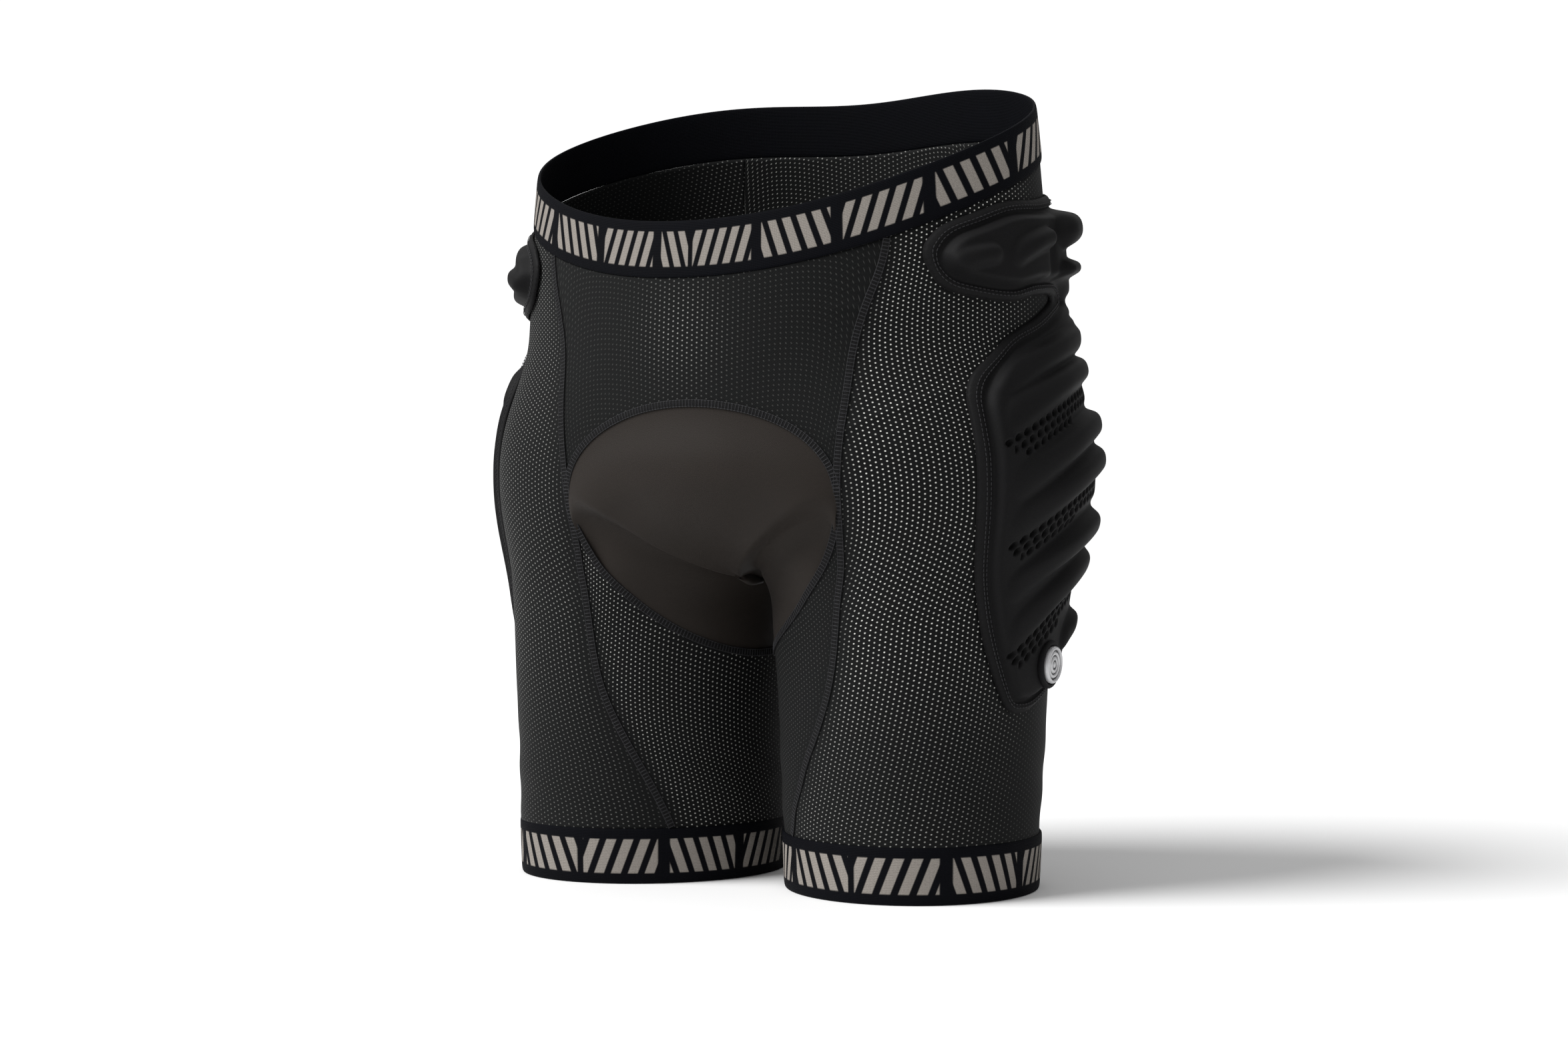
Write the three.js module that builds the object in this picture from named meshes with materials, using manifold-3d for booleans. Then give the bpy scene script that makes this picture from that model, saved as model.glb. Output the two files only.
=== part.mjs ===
// Padded impact shorts in their worn shape, standing on the two leg hems.
// Millimetres, +Z up. The wearer faces -Y and the wearer's left is +X.
// Every piece is a slab laid on one smooth body surface, so a change to the body moves them all.

import * as THREE from "three";
import { mergeVertices } from "three/addons/utils/BufferGeometryUtils.js";
import Module from "manifold-3d";

const wasm = await Module();
wasm.setup();

// ---- Driving dimensions -------------------------------------------------------------------

// Torso: [height, half width, front, back]
const torsoStations = [
  [150, 150, -84, 98],
  [200, 172, -104, 122],
  [250, 177, -117, 133],
  [300, 173, -119, 130],
  [363, 169, -117, 119],
  [436, 163, -112, 112],
  [500, 156, -106, 106],
];

// Leg: [height, centre x, centre y, short half width, long half width]
const legStations = [
  [0, 89, -5, 75, 85],
  [124, 89, -4, 81, 90],
  [222, 89, 0, 88, 97],
  [320, 84, 4, 88, 104],
];
const legTurn = 24; // degrees that the leg's long section axis turns outwards
const torsoFloor = 196; // height at which the torso rounds off between the legs
const torsoFloorBlend = 60;
const legTop = 300; // height at which the legs have merged into the torso
const legTopBlend = 60;
const legToTorsoBlend = 34;
const legToLegBlend = 6;
const legAxisUpTo = 182; // below this height, points are found from the leg's own axis
const torsoAxisFrom = 350; // above this height, they are found from the torso's axis

const fabricThickness = 1.6;
const elasticProud = 1.0; // how far the elastic bands stand out from the fabric
const seamGap = 0.35; // each panel's edge keeps this far from its seam line
const layerGap = 0.3; // between a hard layer and the one it lies on
const fabricGap = 0.65; // between a pad and the curved fabric it lies on

const waistbandWidth = 33;
const waistFrontHeight = 357.5; // lower edge of the waistband, at the middle of the front
const waistSideHeight = 421;
const waistBackHeight = 454.5;
const waistDipFlatness = 5; // flattens the front of the waistband's curve

const cuffWidth = 33;

// Seams run round each leg and up to the waist: [height, degrees from straight ahead]
const frontSeamStations = [
  [0, -42], [33, -36], [115, -9], [195, 0], [230, 10], [300, 37], [363, 51], [430, 53],
];
const backSeamStations = [
  [0, 207], [33, 205], [115, 196], [195, 185], [230, 174], [300, 152], [363, 142], [500, 140],
];

const insertFrontTop = 285;
const insertCornerFront = 231; // where the insert meets the front seams
const insertLowest = 137; // on the inner thigh
const insertCornerBack = 212;
const insertBackTop = 248;
const insertLowestAt = 0.45; // share of the way from the front corner to the back corner

const seatPadThickness = 9;
const insertCells = 16; // grid cells each way across the insert
const seatPadMarginCells = 2; // cells of the insert left free round the inner seat pad
const tailbonePadThickness = 10;
const tailbonePadHalfWidth = 42;
const tailbonePadTaper = 0.62; // width at the bottom as a share of the width at the top
const tailbonePadBottom = 300;
const tailbonePadTop = 400;

// Side pad, drawn in side view as [distance behind the leg's middle (y), height]
const thighPadThickness = 7.5;
const hipPadThickness = 10;
const padEdgeThickness = 3.2;
const thighPadFront = -60;
const thighPadBack = 60;
const thighPadTop = [[-60, 300], [-49, 308], [-32, 324], [-12, 334], [12, 346], [42, 356], [60, 358]];
const thighPadBottom = [
  [-60, 196], [-50, 150], [-35, 113], [-22, 107], [-2, 112], [22, 125], [44, 155], [60, 190],
];
const hipPadFront = -78;
const hipPadBack = 56;
const hipPadTop = [[-78, 373], [-67, 385], [-52, 393], [-32, 401], [-2, 405], [45, 414], [56, 412]];
const hipPadBottom = [
  [-78, 366], [-70, 351], [-56, 345], [-32, 343], [-10, 348], [20, 349], [40, 338], [56, 330],
];

const ribProud = 6.5; // height of a rib above the pad's face
const ribWidth = 15;
const ribBack = 51;
// Ribs from the top: [front end y, height there, rise towards the back]
const ribs = [
  [-48, 293, 31],
  [-48, 272, 34],
  [-46, 236, 38],
  [-44, 215, 39],
  [-42, 177, 42],
  [-39, 151, 46],
];
const ribBend = 1.7; // more makes the front third of a rib steeper

// Short bars: [name, front y, back y, height at the front, rise, width, height above the face]
const hipBars = [
  ["hip_bar_front", -66, -42, 362, 7, 12, 4.5],
  ["hip_bar_middle", -36, -3, 367, 14, 13, 6.5],
  ["hip_knob_upper", 4, 48, 385, 7, 22, 11],
  ["hip_knob_lower", 7, 48, 363, 5, 11, 8],
];
const lowestRib = ["thigh_rib_7", 12, 42, 146, 16, 12, 6];

// The garment sits slightly twisted on the legs: its outer sides move by this much,
// fully below the first height and not at all above the second.
const twist = { left: -10, right: 14 };
const twistFullBelow = 262;
const twistNoneAbove = 352;

const badgeY = -3;
const badgeHeight = 135;
const badgeRadius = 10.8;
const badgeRim = 2.2;
const badgeThickness = 2.6;
const badgeRecess = 1;
const badgeSurroundWidth = 3.2;
const badgeSurroundThickness = 2.4;

// ---- Body surface -------------------------------------------------------------------------

/** Smooth curve through stations [position, value, ...], column by column. */
function along(stations, position, column = 1) {
  const last = stations.length - 1;
  const clamped = Math.min(Math.max(position, stations[0][0]), stations[last][0]);
  let i = 0;
  while (i < last - 1 && clamped > stations[i + 1][0]) i += 1;
  const slope = (k) => {
    const a = stations[Math.max(k - 1, 0)];
    const b = stations[Math.min(k + 1, last)];
    return (b[column] - a[column]) / (b[0] - a[0]);
  };
  const span = stations[i + 1][0] - stations[i][0];
  const t = (clamped - stations[i][0]) / span;
  const start = stations[i][column] * (1 + 2 * t) * (1 - t) ** 2 + slope(i) * span * t * (1 - t) ** 2;
  const end = stations[i + 1][column] * t * t * (3 - 2 * t) - slope(i + 1) * span * t * t * (1 - t);
  return start + end;
}

function smoothMin(a, b, blend) {
  const h = Math.max(blend - Math.abs(a - b), 0) / blend;
  return Math.min(a, b) - (h * h * blend) / 4;
}

const smoothMax = (a, b, blend) => -smoothMin(-a, -b, blend);

const smoothStep = (t) => {
  const c = Math.min(Math.max(t, 0), 1);
  return c * c * (3 - 2 * c);
};

/** How far outside one leg's tapering, turned ellipse a point lies. */
function legField(side, x, y, z) {
  const turn = THREE.MathUtils.degToRad(legTurn);
  const dx = side * x - along(legStations, z, 1);
  const dy = y - along(legStations, z, 2);
  const across = dx * Math.cos(turn) + dy * Math.sin(turn);
  const lengthways = dx * Math.sin(turn) - dy * Math.cos(turn);
  const short = along(legStations, z, 3);
  const long = along(legStations, z, 4);
  const outside = (Math.hypot(across / short, lengthways / long) - 1) * short;
  return smoothMax(outside, z - legTop, legTopBlend);
}

/** Negative inside the body, positive outside, close to a distance in millimetres. */
function bodyField(x, y, z) {
  const halfWidth = along(torsoStations, z, 1);
  const front = along(torsoStations, z, 2);
  const back = along(torsoStations, z, 3);
  const depth = (back - front) / 2;
  const outside = (Math.hypot(x / halfWidth, (y - (front + back) / 2) / depth) - 1) * depth;
  const torso = smoothMax(outside, torsoFloor - z, torsoFloorBlend);
  const legs = smoothMin(legField(1, x, y, z), legField(-1, x, y, z), legToLegBlend);
  return smoothMin(torso, legs, legToTorsoBlend);
}

function normalAt(p) {
  const e = 0.5;
  return new THREE.Vector3(
    bodyField(p.x + e, p.y, p.z) - bodyField(p.x - e, p.y, p.z),
    bodyField(p.x, p.y + e, p.z) - bodyField(p.x, p.y - e, p.z),
    bodyField(p.x, p.y, p.z + e) - bodyField(p.x, p.y, p.z - e),
  ).normalize();
}

/** The first surface point that a ray from inside the body reaches. */
function cast(from, direction) {
  const at = (t) => from.clone().addScaledVector(direction, t);
  const inside = (t) => {
    const p = at(t);
    return bodyField(p.x, p.y, p.z) < 0;
  };
  const stride = 7;
  let near = 0;
  while (inside(near + stride) && near < 400) near += stride;
  let far = near + stride;
  for (let i = 0; i < 26; i += 1) {
    const middle = (near + far) / 2;
    if (inside(middle)) near = middle;
    else far = middle;
  }
  return at(near);
}

/** Slides a point near the surface onto it, along the surface's own normal. */
function settle(p) {
  const q = p.clone();
  for (let i = 0; i < 12; i += 1) {
    q.addScaledVector(normalAt(q), -bodyField(q.x, q.y, q.z) * 0.8);
  }
  return q;
}

/** Distance of the ray axis from the middle: the leg's axis low down, the torso's axis high up. */
function axisX(z) {
  const t = (z - legAxisUpTo) / (torsoAxisFrom - legAxisUpTo);
  return along(legStations, 0, 1) * (1 - smoothStep(t));
}

/** Point at an angle (0 ahead, 90 outwards, 180 behind, -90 inwards) and a height. */
function around(side, degrees, z) {
  const a = THREE.MathUtils.degToRad(degrees);
  const direction = new THREE.Vector3(side * Math.sin(a), -Math.cos(a), 0);
  return cast(new THREE.Vector3(side * axisX(z), 0, z), direction);
}

/** Point at a place in side view, moved by the twist. */
function fromSide(side, y, z) {
  const full = side > 0 ? twist.left : twist.right;
  const share = smoothStep((twistNoneAbove - z) / (twistNoneAbove - twistFullBelow));
  return cast(new THREE.Vector3(side * 40, y + full * share, z), new THREE.Vector3(side, 0, 0));
}

/** Point at a place in front view, on the front (-1) or on the back (1). */
const fromFront = (facing, x, z) => cast(new THREE.Vector3(x, 0, z), new THREE.Vector3(0, facing, 0));

/** Lower edge of the waistband at an angle round the waist. */
function waistLower(degrees) {
  const a = THREE.MathUtils.degToRad(degrees);
  const even = (waistFrontHeight + waistBackHeight) / 2;
  const mean = (waistSideHeight + even) / 2;
  const tilt = (waistFrontHeight - waistBackHeight) / 2 - waistDipFlatness;
  return mean + tilt * Math.cos(a) + (even - mean) * Math.cos(2 * a) + waistDipFlatness * Math.cos(3 * a);
}

/** Height of the waistband's lower edge above a place in front view, by repeated estimate. */
function waistAbove(facing, xAt) {
  let z = facing < 0 ? waistFrontHeight : waistBackHeight;
  for (let i = 0; i < 8; i += 1) {
    const p = fromFront(facing, xAt(z), z);
    z = waistLower(THREE.MathUtils.radToDeg(Math.atan2(Math.abs(p.x), -p.y)));
  }
  return z;
}

// ---- Meshes -------------------------------------------------------------------------------

const lerp = THREE.MathUtils.lerp;

/** Closed mesh from positions and quads, as one indexed geometry. */
function geometryOf(points, faces) {
  const geometry = new THREE.BufferGeometry();
  const values = points.flatMap((p) => [p.x, p.y, p.z]);
  geometry.setAttribute("position", new THREE.Float32BufferAttribute(values, 3));
  geometry.setIndex(faces.flat());
  return geometry;
}

function signedVolume(points, faces) {
  return faces.reduce((sum, [a, b, c]) => sum + points[a].dot(points[b].clone().cross(points[c])), 0);
}

/**
 * Slab between two offsets of a patch of the body surface. place(u, v) gives a surface point,
 * inner and outer give the offsets along its normal, or along the normal's level part.
 * A ring closes on itself in u.
 */
function slab({ place, inner, outer, columns, rows, ring = false, level = false }) {
  const offset = (value, u, v) => (typeof value === "function" ? value(u, v) : value);
  const width = ring ? columns : columns + 1;
  const points = [];
  for (const depth of [inner, outer]) {
    for (let j = 0; j <= rows; j += 1) {
      for (let i = 0; i < width; i += 1) {
        const u = i / columns;
        const v = j / rows;
        const p = place(u, v);
        const normal = normalAt(p);
        if (level) normal.setZ(0).normalize();
        points.push(p.clone().addScaledVector(normal, offset(depth, u, v)));
      }
    }
  }
  const layer = width * (rows + 1);
  const index = (depth, i, j) => depth * layer + j * width + (i % width);
  const faces = [];
  const quad = (a, b, c, d) => faces.push([a, b, c], [a, c, d]);
  for (let j = 0; j < rows; j += 1) {
    for (let i = 0; i < columns; i += 1) {
      quad(index(1, i, j), index(1, i + 1, j), index(1, i + 1, j + 1), index(1, i, j + 1));
      quad(index(0, i, j), index(0, i, j + 1), index(0, i + 1, j + 1), index(0, i + 1, j));
    }
  }
  for (let i = 0; i < columns; i += 1) {
    quad(index(0, i, 0), index(0, i + 1, 0), index(1, i + 1, 0), index(1, i, 0));
    quad(index(0, i, rows), index(1, i, rows), index(1, i + 1, rows), index(0, i + 1, rows));
  }
  if (!ring) {
    for (let j = 0; j < rows; j += 1) {
      quad(index(0, 0, j), index(1, 0, j), index(1, 0, j + 1), index(0, 0, j + 1));
      quad(index(0, columns, j), index(0, columns, j + 1), index(1, columns, j + 1), index(1, columns, j));
    }
  }
  if (signedVolume(points, faces) < 0) faces.forEach((face) => face.reverse());
  return geometryOf(points, faces);
}

function solidOf(geometry) {
  const merged = mergeVertices(geometry);
  const mesh = new wasm.Mesh({
    numProp: 3,
    vertProperties: new Float32Array(merged.attributes.position.array),
    triVerts: new Uint32Array(merged.index.array),
  });
  return new wasm.Manifold(mesh);
}

function geometryFrom(solid) {
  const mesh = solid.getMesh();
  const geometry = new THREE.BufferGeometry();
  geometry.setAttribute("position", new THREE.BufferAttribute(new Float32Array(mesh.vertProperties), 3));
  geometry.setIndex(new THREE.BufferAttribute(new Uint32Array(mesh.triVerts), 1));
  return geometry;
}

/** Offset that rises from an edge value to a full value over the outer share of a patch. */
const crowned = (edge, full, share) => (u, v) => {
  const inU = smoothStep(Math.min(u, 1 - u) / share);
  const inV = smoothStep(Math.min(v, 1 - v) / share);
  return lerp(edge, full, Math.min(inU, inV));
};

// ---- Materials ----------------------------------------------------------------------------

function finish(color, roughness, metalness = 0) {
  return new THREE.MeshStandardMaterial({ color, roughness, metalness });
}

const finishes = {
  mesh: finish(0x1c1d20, 0.85),
  elastic: finish(0x15161c, 0.8),
  insert: finish(0x45403e, 0.75),
  foam: finish(0x101114, 0.7),
  lining: finish(0x2b2c30, 0.9),
  badge: finish(0xc9ccd0, 0.3, 0.2),
};

const shorts = new THREE.Group();

function add(name, geometry, material) {
  const mesh = new THREE.Mesh(geometry, material);
  mesh.name = name;
  shorts.add(mesh);
}

const sides = [["left", 1], ["right", -1]];
const fabric = { inner: -fabricThickness, outer: 0 };
const elastic = { inner: -fabricThickness, outer: elasticProud };

// ---- Elastic bands ------------------------------------------------------------------------

add("waistband", slab({
  place: (u, v) => {
    const degrees = 360 * u;
    return around(1, degrees, waistLower(degrees) + seamGap + v * waistbandWidth);
  },
  ...elastic,
  columns: 48,
  rows: 2,
  ring: true,
  level: true,
}), finishes.elastic);

for (const [word, side] of sides) {
  add(`cuff_${word}`, slab({
    place: (u, v) => around(side, 360 * u, v * (cuffWidth - seamGap)),
    ...elastic,
    columns: 36,
    rows: 1,
    ring: true,
    level: true,
  }), finishes.elastic);
}

// ---- Fabric panels ------------------------------------------------------------------------

/** Angle of a seam at a height, moved off the seam line by the seam gap. */
function seamDegrees(stations, z, shift) {
  const p = around(1, along(stations, z), z);
  const radius = Math.hypot(p.x - axisX(z), p.y);
  return along(stations, z) + THREE.MathUtils.radToDeg((shift * seamGap) / radius);
}

/**
 * The insert's lower edge on a leg, as a share of the way round the leg's inner side and a height:
 * two quarter ellipses, from the front corner (0) to the lowest point and on to the back corner (1).
 */
function insertEdge(v) {
  const front = v < insertLowestAt;
  const reach = front ? insertLowestAt : 1 - insertLowestAt;
  const rise = (front ? insertCornerFront : insertCornerBack) - insertLowest;
  const a = ((front ? v : 1 - v) / reach) * (Math.PI / 2);
  const share = reach * (1 - Math.cos(a));
  return { share: front ? share : 1 - share, height: insertLowest + rise * (1 - Math.sin(a)) };
}

/** Angle on the inner side of a leg at a share of the way from the front seam to the back seam. */
function innerDegrees(w, z) {
  return lerp(seamDegrees(frontSeamStations, z, -1), seamDegrees(backSeamStations, z, 1) - 360, w);
}

/** Angle on the outer side of a leg at a share of the way from the front seam to the back seam. */
function sideDegrees(u, z) {
  return lerp(seamDegrees(frontSeamStations, z, 1), seamDegrees(backSeamStations, z, -1), u);
}

/** Height of the side panel's top edge, which follows the waistband, by repeated estimate. */
function sidePanelTop(u) {
  let z = waistSideHeight;
  for (let i = 0; i < 8; i += 1) z = waistLower(sideDegrees(u, z)) - seamGap;
  return z;
}

for (const [word, side] of sides) {
  add(`side_panel_${word}`, slab({
    place: (u, v) => {
      const z = lerp(cuffWidth + seamGap, sidePanelTop(u), v);
      return around(side, sideDegrees(u, z), z);
    },
    ...fabric,
    columns: 18,
    rows: 24,
  }), finishes.mesh);

  add(`inner_leg_${word}`, slab({
    place: (u, v) => {
      const edge = insertEdge(u);
      const z = lerp(cuffWidth + seamGap, edge.height - 2 * seamGap, v);
      return around(side, innerDegrees(lerp(u, edge.share, v), z), z);
    },
    ...fabric,
    columns: 16,
    rows: 8,
  }), finishes.mesh);
}

/** Width of the front or back panel at a height: the seam's own distance from the middle. */
function seamX(stations, z) {
  const towardsMiddle = stations === frontSeamStations ? -1 : 1;
  return around(1, seamDegrees(stations, z, towardsMiddle), z).x;
}

/** Height of the insert's edge across the front or the back, from one seam to the other. */
function insertArch(stations, share) {
  const front = stations === frontSeamStations;
  const corner = front ? insertCornerFront : insertCornerBack;
  const top = front ? insertFrontTop : insertBackTop;
  return lerp(corner, top, Math.sqrt(1 - share * share));
}

/** Share of the way from the middle to a seam, closer together near the seams. */
const acrossAt = (u) => Math.sin((2 * u - 1) * (Math.PI / 2));

/** Point of the front or back panel; across runs from -1 to 1 and up from 0 to 1. */
function panelPoint(stations, across, up) {
  const facing = stations === frontSeamStations ? -1 : 1;
  const top = waistAbove(facing, (z) => across * seamX(stations, z)) - seamGap;
  const z = lerp(insertArch(stations, across) + 2 * seamGap, top, up);
  return fromFront(facing, across * seamX(stations, z), z);
}

add("front_panel", slab({
  place: (u, v) => panelPoint(frontSeamStations, acrossAt(u), v),
  ...fabric,
  columns: 16,
  rows: 8,
}), finishes.mesh);

add("seat_panel", slab({
  place: (u, v) => panelPoint(backSeamStations, acrossAt(u), v),
  ...fabric,
  columns: 14,
  rows: 12,
}), finishes.mesh);

// ---- Crotch insert and the pads behind it -------------------------------------------------

const insertInset = 2 * seamGap;

/** Middle line of the insert, from the front top under the crotch to the back top. */
function insertMiddle(v) {
  const hub = new THREE.Vector3(0, 0, 262);
  const start = fromFront(-1, 0, insertFrontTop).sub(hub);
  const end = fromFront(1, 0, insertBackTop).sub(hub);
  const from = Math.atan2(start.z, -start.y);
  const to = Math.atan2(end.z, -end.y) - 2 * Math.PI * (end.z > 0 ? 1 : 0);
  const a = lerp(from, to, v);
  return cast(hub, new THREE.Vector3(0, -Math.cos(a), Math.sin(a)));
}

/** The insert's edge on one leg, from the front corner to the back corner. */
function insertLegEdge(side, v) {
  const { share, height } = insertEdge(v);
  const radius = (legStations[1][3] + legStations[1][4]) / 2;
  const inset = insertInset / (Math.PI * radius);
  return around(side, innerDegrees(lerp(inset, 1 - inset, share), height), height);
}

/** The insert's edge across the front (0) or the back (1). */
function insertCrossEdge(v, across) {
  const stations = v === 0 ? frontSeamStations : backSeamStations;
  const z = insertArch(stations, across);
  return fromFront(v === 0 ? -1 : 1, across * (seamX(stations, z) - insertInset), z);
}

/** Point of the insert: its four edges blended across the patch, then settled on the surface. */
function insertPoint(across, v) {
  const side = across < 0 ? -1 : 1;
  const w = Math.abs(across);
  const lengthways = insertMiddle(v).lerp(insertLegEdge(side, v), w);
  const crossways = insertCrossEdge(0, across).lerp(insertCrossEdge(1, across), v);
  const front = insertMiddle(0).lerp(insertLegEdge(side, 0), w);
  const back = insertMiddle(1).lerp(insertLegEdge(side, 1), w);
  return settle(lengthways.add(crossways).sub(front.lerp(back, v)));
}

add("crotch_insert", slab({
  place: (u, v) => insertPoint(acrossAt(u), v),
  ...fabric,
  columns: insertCells,
  rows: insertCells,
}), finishes.insert);

const seatPadMargin = seatPadMarginCells / insertCells;
const acrossPad = (t) => lerp(seatPadMargin, 1 - seatPadMargin, t);

add("seat_pad", slab({
  place: (u, v) => insertPoint(acrossAt(acrossPad(u)), acrossPad(v)),
  inner: (u, v) => -fabricThickness - fabricGap - crowned(2, seatPadThickness, 0.3)(u, v),
  outer: -fabricThickness - fabricGap,
  columns: insertCells - 2 * seatPadMarginCells,
  rows: insertCells - 2 * seatPadMarginCells,
}), finishes.lining);

add("tailbone_pad", slab({
  place: (u, v) => {
    const x = (2 * u - 1) * tailbonePadHalfWidth * lerp(tailbonePadTaper, 1, v);
    return fromFront(1, x, lerp(tailbonePadBottom, tailbonePadTop, v));
  },
  inner: (u, v) => -fabricThickness - fabricGap - crowned(3, tailbonePadThickness, 0.3)(u, v),
  outer: -fabricThickness - fabricGap,
  columns: 8,
  rows: 8,
}), finishes.foam);

// ---- Side pads ----------------------------------------------------------------------------

/** Part of the side pad between a lower and an upper outline in side view. */
function padSlab({ side, ends, bottom, top, thickness, cells }) {
  return slab({
    place: (u, v) => {
      const y = lerp(ends[0], ends[1], u);
      return fromSide(side, y, lerp(along(bottom, y), along(top, y), v));
    },
    inner: fabricGap,
    outer: crowned(padEdgeThickness, thickness, 0.14),
    columns: cells[0],
    rows: cells[1],
  });
}

/** Bar standing on the pad's face, with rounded edges and ends. */
function bar(side, [front, back, startHeight, rise, width, proud], thickness, columns) {
  const base = thickness + fabricGap;
  const rounding = (u, v) => Math.min(1, 6 * Math.min(u, 1 - u) + 0.35) * (v > 0 && v < 1 ? 1 : 0.45);
  return slab({
    place: (u, v) => {
      const y = lerp(front, back, u);
      const middle = startHeight + rise * (1 - (1 - u) ** ribBend);
      return fromSide(side, y, middle + (v - 0.5) * width);
    },
    inner: base,
    outer: (u, v) => base + rounding(u, v) * proud,
    columns,
    rows: 3,
  });
}

/** Round plate on the pad's face; radius may change from the rim to the middle. */
function plate(side, rings, inner) {
  const seat = fromSide(side, badgeY, badgeHeight);
  const normal = normalAt(seat);
  const outline = [[0, inner], [rings[0][0], inner], ...rings, [0, rings[rings.length - 1][1]]];
  const geometry = new THREE.LatheGeometry(outline.map(([r, h]) => new THREE.Vector2(r, h)), 32);
  geometry.applyQuaternion(new THREE.Quaternion().setFromUnitVectors(new THREE.Vector3(0, 1, 0), normal));
  geometry.translate(seat.x, seat.y, seat.z);
  geometry.deleteAttribute("normal");
  geometry.deleteAttribute("uv");
  return geometry;
}

const badgeSeat = thighPadThickness + fabricGap;
const surroundTop = badgeSeat + badgeSurroundThickness;
const badgeTop = surroundTop + layerGap + badgeThickness;

for (const [word, side] of sides) {
  const thigh = padSlab({
    side,
    ends: [thighPadFront, thighPadBack],
    bottom: thighPadBottom,
    top: thighPadTop,
    thickness: thighPadThickness,
    cells: [14, 14],
  });
  const hip = padSlab({
    side,
    ends: [hipPadFront, hipPadBack],
    bottom: hipPadBottom,
    top: hipPadTop,
    thickness: hipPadThickness,
    cells: [12, 5],
  });
  add(`side_pad_${word}`, geometryFrom(solidOf(thigh).add(solidOf(hip))), finishes.foam);

  ribs.forEach(([front, height, rise], i) => {
    const size = [front, ribBack, height, rise, ribWidth, ribProud];
    add(`thigh_rib_${i + 1}_${word}`, bar(side, size, thighPadThickness, 10), finishes.foam);
  });
  const [lowestName, ...lowestSize] = lowestRib;
  add(`${lowestName}_${word}`, bar(side, lowestSize, thighPadThickness, 6), finishes.foam);
  for (const [name, ...size] of hipBars) {
    add(`${name}_${word}`, bar(side, size, hipPadThickness, 6), finishes.foam);
  }

  const surroundRadius = badgeRadius + badgeSurroundWidth;
  add(`badge_surround_${word}`, plate(side, [[surroundRadius, surroundTop]], badgeSeat), finishes.foam);
  add(`badge_${word}`, plate(side, [
    [badgeRadius, badgeTop],
    [badgeRadius - badgeRim, badgeTop],
    [badgeRadius - badgeRim, badgeTop - badgeRecess],
  ], surroundTop + layerGap), finishes.badge);
}

// The origin lies under the middle of the object's box, at the height of the hems.
const box = new THREE.Box3().setFromObject(shorts);
shorts.position.y = -(box.min.y + box.max.y) / 2;

export default shorts;
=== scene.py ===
"""Padded impact shorts in their worn shape: fabric panels, elastic bands and ribbed foam pads."""
import math

import bmesh
import bpy
import numpy as np
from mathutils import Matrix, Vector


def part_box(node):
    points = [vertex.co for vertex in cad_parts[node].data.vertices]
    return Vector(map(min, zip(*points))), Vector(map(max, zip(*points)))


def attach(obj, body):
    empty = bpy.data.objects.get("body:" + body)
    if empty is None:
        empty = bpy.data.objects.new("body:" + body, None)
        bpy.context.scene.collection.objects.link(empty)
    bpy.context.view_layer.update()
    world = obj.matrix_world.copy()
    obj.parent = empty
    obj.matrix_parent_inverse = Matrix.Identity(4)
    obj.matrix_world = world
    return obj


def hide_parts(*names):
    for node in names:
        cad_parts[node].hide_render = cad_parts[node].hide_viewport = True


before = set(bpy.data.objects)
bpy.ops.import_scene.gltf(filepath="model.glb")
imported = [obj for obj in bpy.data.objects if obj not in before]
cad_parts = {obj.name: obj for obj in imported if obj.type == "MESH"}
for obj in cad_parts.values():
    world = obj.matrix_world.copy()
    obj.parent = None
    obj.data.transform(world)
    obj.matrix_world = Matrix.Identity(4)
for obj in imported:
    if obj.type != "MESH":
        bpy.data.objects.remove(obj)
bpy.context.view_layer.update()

MM = 0.001

# ---- Body surface, in millimetres ----

# Torso: height, half width, front, back
TORSO = [
    (150, 150, -84, 98), (200, 172, -104, 122), (250, 177, -117, 133), (300, 173, -119, 130),
    (363, 169, -117, 119), (436, 163, -112, 112), (500, 156, -106, 106),
]
# Leg: height, centre x, centre y, short half width, long half width
LEG = [(0, 89, -5, 75, 85), (124, 89, -4, 81, 90), (222, 89, 0, 88, 97), (320, 84, 4, 88, 104)]
LEG_TURN = math.radians(24)
TORSO_FLOOR, TORSO_FLOOR_BLEND = 196, 60
LEG_TOP, LEG_TOP_BLEND = 300, 60
LEG_TO_TORSO, LEG_TO_LEG = 34, 6
LEG_AXIS_UP_TO, TORSO_AXIS_FROM = 182, 350

WAIST_FRONT, WAIST_SIDE, WAIST_BACK, WAIST_DIP = 357.5, 421, 454.5, 5
BAND, BAND_HALF, BAND_SUNK = 33, 1.25, 0.15  # width, half thickness, depth of its middle
FABRIC, PANEL_SUNK = 1.6, 0.1
CREASE, WAVE, HEM_WAVE, RIDGE, POUCH, POUCH_HOLLOW = 1.2, 0.6, 0.35, 0.55, 9.5, 1.6  # how proud

# Seams: height, degrees from straight ahead
FRONT_SEAM = [(0, -42), (33, -36), (115, -9), (195, 0), (230, 10), (300, 37), (363, 51), (430, 53)]
BACK_SEAM = [(0, 207), (33, 205), (115, 196), (195, 185), (230, 174), (300, 152), (363, 142), (500, 140)]
INSERT_FRONT_TOP, INSERT_CORNER_FRONT, INSERT_LOWEST = 285, 231, 137
INSERT_CORNER_BACK, INSERT_BACK_TOP, INSERT_LOWEST_AT, INSERT_HUB = 212, 248, 0.45, 262

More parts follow.
